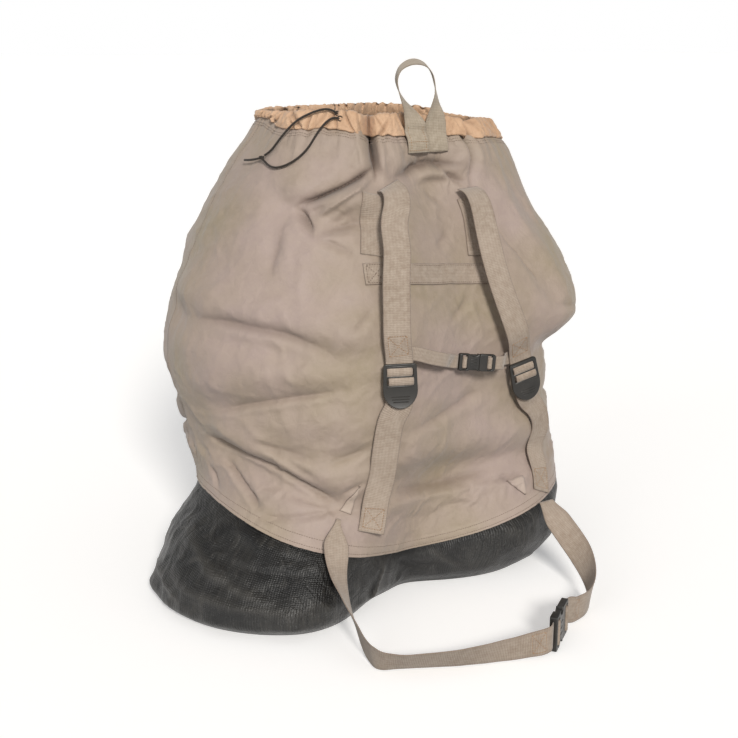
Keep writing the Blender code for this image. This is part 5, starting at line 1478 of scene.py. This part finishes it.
# One hard piece from several solids, placed by its matrix.
def joined(name, solids, matrix, node, bend=None, slot="moulded_plastic", material=None):
    verts, faces, start = [], [], 0
    for points, polygons in solids:
        verts.append(points)
        faces += [[start + index for index in polygon] for polygon in polygons]
        start += len(points)
    verts = np.concatenate(verts)
    if bend:
        verts = bend(verts)
    mesh = bpy.data.meshes.new(name)
    mesh.from_pydata([matrix @ Vector(p) for p in verts], [], faces)
    mesh.validate()
    mesh.shade_smooth()
    mesh.set_sharp_from_angle(angle=math.radians(40.0))
    return addPiece(name, mesh, material or moulded, slot, *([node] if node else []))


# A ladder adjuster: a frame with two windows, its bars and a rounded lifting tab with grip ridges.
def buildLock(name, matrix, node):
    look = ladderLock
    half, top = look["width"] * 0.5, look["length"] * 0.5
    corner = look["corner"]
    outline = arcPoints((half - corner, top - corner), (corner, corner), 0, 90, 5)
    outline += arcPoints((corner - half, top - corner), (corner, corner), 90, 180, 5)
    outline += arcPoints((0.0, -look["tabDrop"]), (half + look["flare"], top - look["tabDrop"]), 180, 360, 28)
    windows = [roundedBox((0.0, y), look["window"], 0.0012) for y in look["windows"]]
    solids = [plate([outline] + windows, look["thickness"], look["edge"])]
    front = look["thickness"] * 0.5
    reach = look["window"][0] * 0.5
    for y, out in ((0.0130, 0.0004), (0.0270, 0.0000), (-0.0005, 0.0002)):
        solids.append(capsule((-reach, y, front - 0.0016 + out), (reach, y, front - 0.0016 + out),
                              look["barRadius"], 10))
    for y in look["ridges"]:
        wide = 0.013 * math.sqrt(max(0.1, 1.0 - ((y + look["tabDrop"]) / 0.027) ** 2))
        solids.append(capsule((-wide, y, front - 0.0002), (wide, y, front - 0.0002), 0.0008))

    def bend(points):
        low = np.maximum(-0.004 - points[:, 1], 0.0) / 0.027
        points[:, 2] += look["curl"] * low ** 2
        return points

    return joined(name, solids, matrix, node, bend)


buildLock("ladderLockLeft", lockMatrices["left"], "ladder_lock_left")
buildLock("ladderLockRight", lockMatrices["right"], "ladder_lock_right")

buckleLook = {"split": 0.55, "gap": 0.0003, "edge": 0.0013}


# A fastened side-release buckle: socket at -X, plug at +X, webbing rolled through both end slots.
def buildBuckle(name, size, matrix, nodes, webWidth):
    length, width, thickness = size
    left, right = -length * 0.5, length * 0.5
    seam = left + length * buckleLook["split"]
    edge = buckleLook["edge"]
    slotWide, slotHigh = length * 0.125, webWidth + 0.002
    socketSlot = roundedBox((left + length * 0.155, 0.0), (slotWide, slotHigh), 0.0009)
    bite = width * 0.13
    a, b = left + length * 0.30, seam - length * 0.05
    half = width * 0.5
    outline = arcPoints((left + 0.003, half - 0.003), (0.003, 0.003), 180, 90, 4)
    outline += [(a - 0.002, half), (a, half - 0.4 * bite), (a + 0.004, half - bite), (b - 0.004, half - bite),
                (b, half - 0.4 * bite), (b + 0.0015, half)]
    outline += [(seam - 0.001, half), (seam, half - 0.001)]
    mirrored = [(x, -y) for x, y in reversed(outline)]
    solids = [plate([outline + mirrored, socketSlot], thickness, edge)]
    for y in (-width * 0.17, 0.0, width * 0.17):
        solids.append(capsule((a + 0.001, y, thickness * 0.5 - 0.0001),
                              (b - 0.001, y, thickness * 0.5 - 0.0001), 0.0006))
    joined(name + "Socket", solids, matrix, nodes[0])
    begin = seam + buckleLook["gap"]
    outline = [(begin, half - 0.002), (begin + 0.0015, half)]
    outline += arcPoints((right - 0.004, half - 0.004), (0.004, 0.004), 90, 0, 4)
    mirrored = [(x, -y) for x, y in reversed(outline)]
    plugSlot = roundedBox((right - length * 0.155, 0.0), (slotWide, slotHigh), 0.0009)
    solids = [plate([outline + mirrored, plugSlot], thickness * 0.86, edge)]
    for side in (-1.0, 1.0):
        y = side * (half - bite * 0.75)
        tongue = plate([roundedBox(((a + b) * 0.5, y), (b - a - 0.001, bite * 0.9), 0.0012)],
                       thickness * 0.62, 0.0008)
        solids.append(tongue)
    joined(name + "Plug", solids, matrix, nodes[1])
    rolls = []
    for x in (left + length * 0.155, right - length * 0.155):
        turned = matrix @ Matrix.Rotation(math.pi / 2, 4, "Z")
        rolls.append(rollOver(turned, (0.0, -x, 0.0), (slotWide * 0.44, thickness * 0.5 + 0.0012),
                              webWidth - 0.001,
                              (200.0, -20.0)))
    mesh = meshFrom(name + "Webbing", rolls)
    addPiece(name + "Webbing", mesh, webbing, "webbing")


buildBuckle("sternumBuckle", (0.056, 0.025, 0.008), sternumMatrix,
            ("sternum_buckle_socket", "sternum_buckle_plug"), sternumWidth - 0.002)
buildBuckle("beltBuckle", beltBuckle["size"], beltMatrix, ("belt_buckle_socket", "belt_buckle_plug"), 0.038)
print("scene: adjusters and buckles made")

# Stitching

stitchLook = {"pitch": 0.0036, "length": 0.0026, "radius": 0.00042, "lift": 0.00015}


# Short rounded stitches along a line of points, each lying on the surface below it.
def stitchParts(path, normals, pitch=None, scale=1.0):
    path, normals = np.asarray(path, float), np.asarray(normals, float)
    travel = np.concatenate([[0.0], np.cumsum(np.linalg.norm(np.diff(path, axis=0), axis=1))])
    pitch = pitch or stitchLook["pitch"]
    count = int(travel[-1] / pitch)
    radius, half = stitchLook["radius"] * scale, stitchLook["length"] * 0.5 * scale
    parts = []
    for k in range(count):
        at = (k + 0.5) * travel[-1] / max(count, 1)
        middle = np.array([np.interp(at, travel, path[:, c]) for c in range(3)])
        before = np.array([np.interp(at - 0.0008, travel, path[:, c]) for c in range(3)])
        ahead = np.array([np.interp(at + 0.0008, travel, path[:, c]) for c in range(3)]) - before
        out = unit(np.array([np.interp(at, travel, normals[:, c]) for c in range(3)]))
        ahead = unit(ahead)
        side = np.cross(out, ahead)
        ring = np.array([(1, 0), (0.3, 0.8), (-0.3, 0.8), (-1, 0), (0, -0.5)])
        rows = []
        for along, grow, sink in ((-1.0, 0.35, 0.5), (-0.6, 1.0, 0.0), (0.6, 1.0, 0.0), (1.0, 0.35, 0.5)):
            centre = middle + ahead * half * along + out * (stitchLook["lift"] - radius * sink)
            rows.append([centre + radius * grow * (side * x + out * y) for x, y in ring])
        parts.append({"points": np.array(rows), "wrap": True})
    return parts


# Stitches over a run of webbing: line is a list of (across, along) in metres.
def stitchOn(run, line, lift, pitch=None):
    line = np.array(line, float)
    steps = np.concatenate([[0.0], np.cumsum(np.linalg.norm(np.diff(line, axis=0), axis=1))])
    wanted = np.linspace(0.0, steps[-1], max(2, int(steps[-1] / 0.002)))
    across, along = np.interp(wanted, steps, line[:, 0]), np.interp(wanted, steps, line[:, 1])
    def at(key):
        return np.stack([np.interp(along, run["travel"], run[key][:, c]) for c in range(3)], 1)
    out = unit(at("outward"))
    return stitchParts(at("middle") + unit(at("across")) * across[:, None] + out * lift, out, pitch)


# A sewn box with its cross.
def boxCross(run, start, end, width, lift):
    w = width * 0.5
    box = [(-w, start), (w, start), (w, end), (-w, end), (-w, start)]
    parts = stitchOn(run, box, lift)
    parts += stitchOn(run, [(-w, start), (w, end)], lift)
    return parts + stitchOn(run, [(w, start), (-w, end)], lift)


# Stitches over the cloth along places (angle, height).
def stitchOnCloth(places, pitch=None):
    places = np.array(places, float)
    plain = skin(places[:, 0], places[:, 1])
    found = [onCloth(p) for p in plain]
    return stitchParts([f[0] for f in found], [f[1] for f in found], pitch)


def sewEverything():
    top = webbingShape["thickness"] * 0.5
    strapParts = []
    for key in ("shoulderLeft", "shoulderRight"):
        run = straps[key]
        end = run["travel"][-1]
        strapParts += boxCross(run, end - 0.046, end - 0.018, 0.026, top)
    for key in ("lowerLeft", "lowerRight"):
        run = straps[key]
        end = run["travel"][-1]
        strapParts += boxCross(run, end - 0.036, end - 0.006, 0.027, top)
    strapParts += stitchOn(handleRun, [(-0.013, 0.006), (-0.013, 0.040)], top)
    strapParts += stitchOn(handleRun, [(0.013, 0.006), (0.013, 0.040)], top)
    end = handleRun["travel"][-1]
    strapParts += stitchOn(handleRun, [(-0.013, end - 0.040), (-0.013, end - 0.006)], top)
    strapParts += stitchOn(handleRun, [(0.013, end - 0.040), (0.013, end - 0.006)], top)
    for across in (0.004, 0.016):
        strapParts += stitchOn(handleRun, [(-0.018, across), (0.018, across)], top)
        strapParts += stitchOn(handleRun, [(-0.018, end - across), (0.018, end - across)], top)
    for run, end in zip(beltRuns, (0, 1)):
        total = run["travel"][-1]
        at = total - 0.040 if end == 0 else 0.020
        strapParts += boxCross(run, at, at + 0.020, 0.028, top)
        strapParts += boxCross(run, at, at + 0.020, 0.028, -top)
    mesh = meshFrom("strapStitching", strapParts)
    addPiece("strapStitching", mesh, strapThread, "webbing")
    clothParts = []
    around = np.linspace(0.0, 360.0, 361)
    for above in (0.003, sackCloth["hemDepth"] - 0.003):
        clothParts += stitchOnCloth(np.stack([around, edgeHeight(hemHeights, around) + above], 1))
    for below in (0.0040, 0.0075):
        clothParts += stitchOnCloth(np.stack([around, mouthRim(around) - mouthDrop(around) - below], 1))
    for angle in sackCloth["seams"]:
        at = np.array([angle])
        low = edgeHeight(hemHeights, at)[0]
        high = (mouthRim(at) - mouthDrop(at))[0] - 0.008
        heights = np.linspace(low + 0.018, high, 120)
        clothParts += stitchOnCloth(np.stack([np.full(120, angle + 1.4), heights], 1))
    mesh = meshFrom("clothStitching", clothParts)
    addPiece("clothStitching", mesh, clothThread, "coated_cloth")
    bandParts = []
    total = bandRun["travel"][-1]
    half = upperBand["width"] * 0.5 - 0.003
    for line in ([(-half, 0.004), (-half, total - 0.004)], [(half, 0.004), (half, total - 0.004)],
                 [(-half, 0.004), (half, 0.004)], [(-half, total - 0.004), (half, total - 0.004)],
                 [(-half, 0.004), (half, 0.030)], [(half, 0.004), (-half, 0.030)],
                 [(-half, 0.030), (half, 0.030)], [(-half, total - 0.030), (half, total - 0.030)],
                 [(-half, total - 0.030), (half, total - 0.004)],
                 [(half, total - 0.030), (-half, total - 0.004)]):
        path = []
        line = np.array(line)
        for t in np.linspace(0.0, 1.0, max(3, int(np.linalg.norm(line[1] - line[0]) / 0.002))):
            across, along = line[0] + (line[1] - line[0]) * t
            m = np.array([np.interp(along, bandRun["travel"], bandRun["middle"][:, c]) for c in range(3)])
            a = np.array([np.interp(along, bandRun["travel"], bandRun["across"][:, c]) for c in range(3)])
            path.append(onCloth(m + a * across, webbingShape["clearance"] + webbingShape["thickness"]))
        bandParts += stitchParts([p[0] for p in path], [p[1] for p in path])
    mesh = meshFrom("bandStitching", bandParts)
    addPiece("bandStitching", mesh, clothThread, "webbing")


sewEverything()
print("scene: stitching sewn")

# Eyelets where the drawcord leaves the channel

eyelet = {"radius": 0.0036, "wire": 0.0009}


def buildEyelets():
    parts = []
    for points in (upperStrand, lowerStrand):
        near, facing, _, _ = collarTree.find_nearest(Vector(points[0]))
        across = facing.cross(Vector((0, 0, 1))).normalized()
        up = across.cross(facing)
        turns = np.linspace(0.0, 2 * math.pi, 24, endpoint=False)
        ring = [np.array(near + facing * 0.0004 + across * eyelet["radius"] * math.cos(t)
                         + up * eyelet["radius"] * math.sin(t)) for t in turns]
        parts.append({"points": tube(ring, eyelet["wire"], 8, closed=True), "wrap": True})
    addPiece("cordEyelets", meshFrom("cordEyelets", parts), braid, "cord")


buildEyelets()

# Floor and light

studio = {"floor": "F6F5F4", "floorSize": 60.0, "floorGlow": 0.28, "horizon": 1.0, "overhead": 0.38,
          "underfoot": 0.14,
          # The room dims between these rises of the view, above the horizon and below it.
          "dimming": (0.04, 0.30), "sinking": (-0.12, -0.02), "tint": (1.0, 1.0, 1.0)}
# Name, from which side, how high, power, softness and colour.
suns = [
    ("keySun", 248.0, 28.0, 2.60, 12.0, (1.0, 0.97, 0.925)),
    ("sideSun", 196.0, 20.0, 0.40, 40.0, (0.95, 0.97, 1.0))]


# A pale floor, a light room above it and soft light from in front.
def buildStudio():
    size = studio["floorSize"]
    mesh = bpy.data.meshes.new("floor")
    mesh.from_pydata([(-size, -size, 0), (size, -size, 0), (size, size, 0), (-size, size, 0)], [],
                     [(0, 1, 2, 3)])
    floor = bpy.data.objects.new("floor", mesh)
    bpy.context.collection.objects.link(floor)
    material, tree, shader = newMaterial("paleFloor", 0.9, 0.1)
    shader.inputs["Base Color"].default_value = rgb(studio["floor"])
    shader.inputs["Emission Color"].default_value = (1.0, 1.0, 1.0, 1.0)
    shader.inputs["Emission Strength"].default_value = studio["floorGlow"]
    mesh.materials.append(material)
    floor.visible_diffuse = False
    world = bpy.data.worlds.new("studio")
    world.use_nodes = True
    tree = world.node_tree
    direction = put(tree, "ShaderNodeTexCoord").outputs["Generated"]
    rise = put(tree, "ShaderNodeSeparateXYZ", {"Vector": direction}).outputs["Z"]
    above = ranged(tree, rise, *studio["dimming"], studio["horizon"], studio["overhead"])
    glow = sums(tree, "MULTIPLY", above, ranged(tree, rise, *studio["sinking"], studio["underfoot"], 1.0))
    tree.links.new(glow, tree.nodes["Background"].inputs["Strength"])
    tree.nodes["Background"].inputs["Color"].default_value = (*studio["tint"], 1.0)
    bpy.context.scene.world = world
    for name, side, high, power, soft, colour in suns:
        data = bpy.data.lights.new(name, "SUN")
        data.energy, data.angle, data.color = power, math.radians(soft), colour
        lamp = bpy.data.objects.new(name, data)
        level = math.cos(math.radians(high))
        place = Vector((level * math.cos(math.radians(side)), level * math.sin(math.radians(side)),
                        math.sin(math.radians(high))))
        lamp.rotation_euler = place.to_track_quat("Z", "Y").to_euler()
        bpy.context.collection.objects.link(lamp)
    bpy.context.scene.view_settings.view_transform = "Standard"


buildStudio()
print("scene: lit")
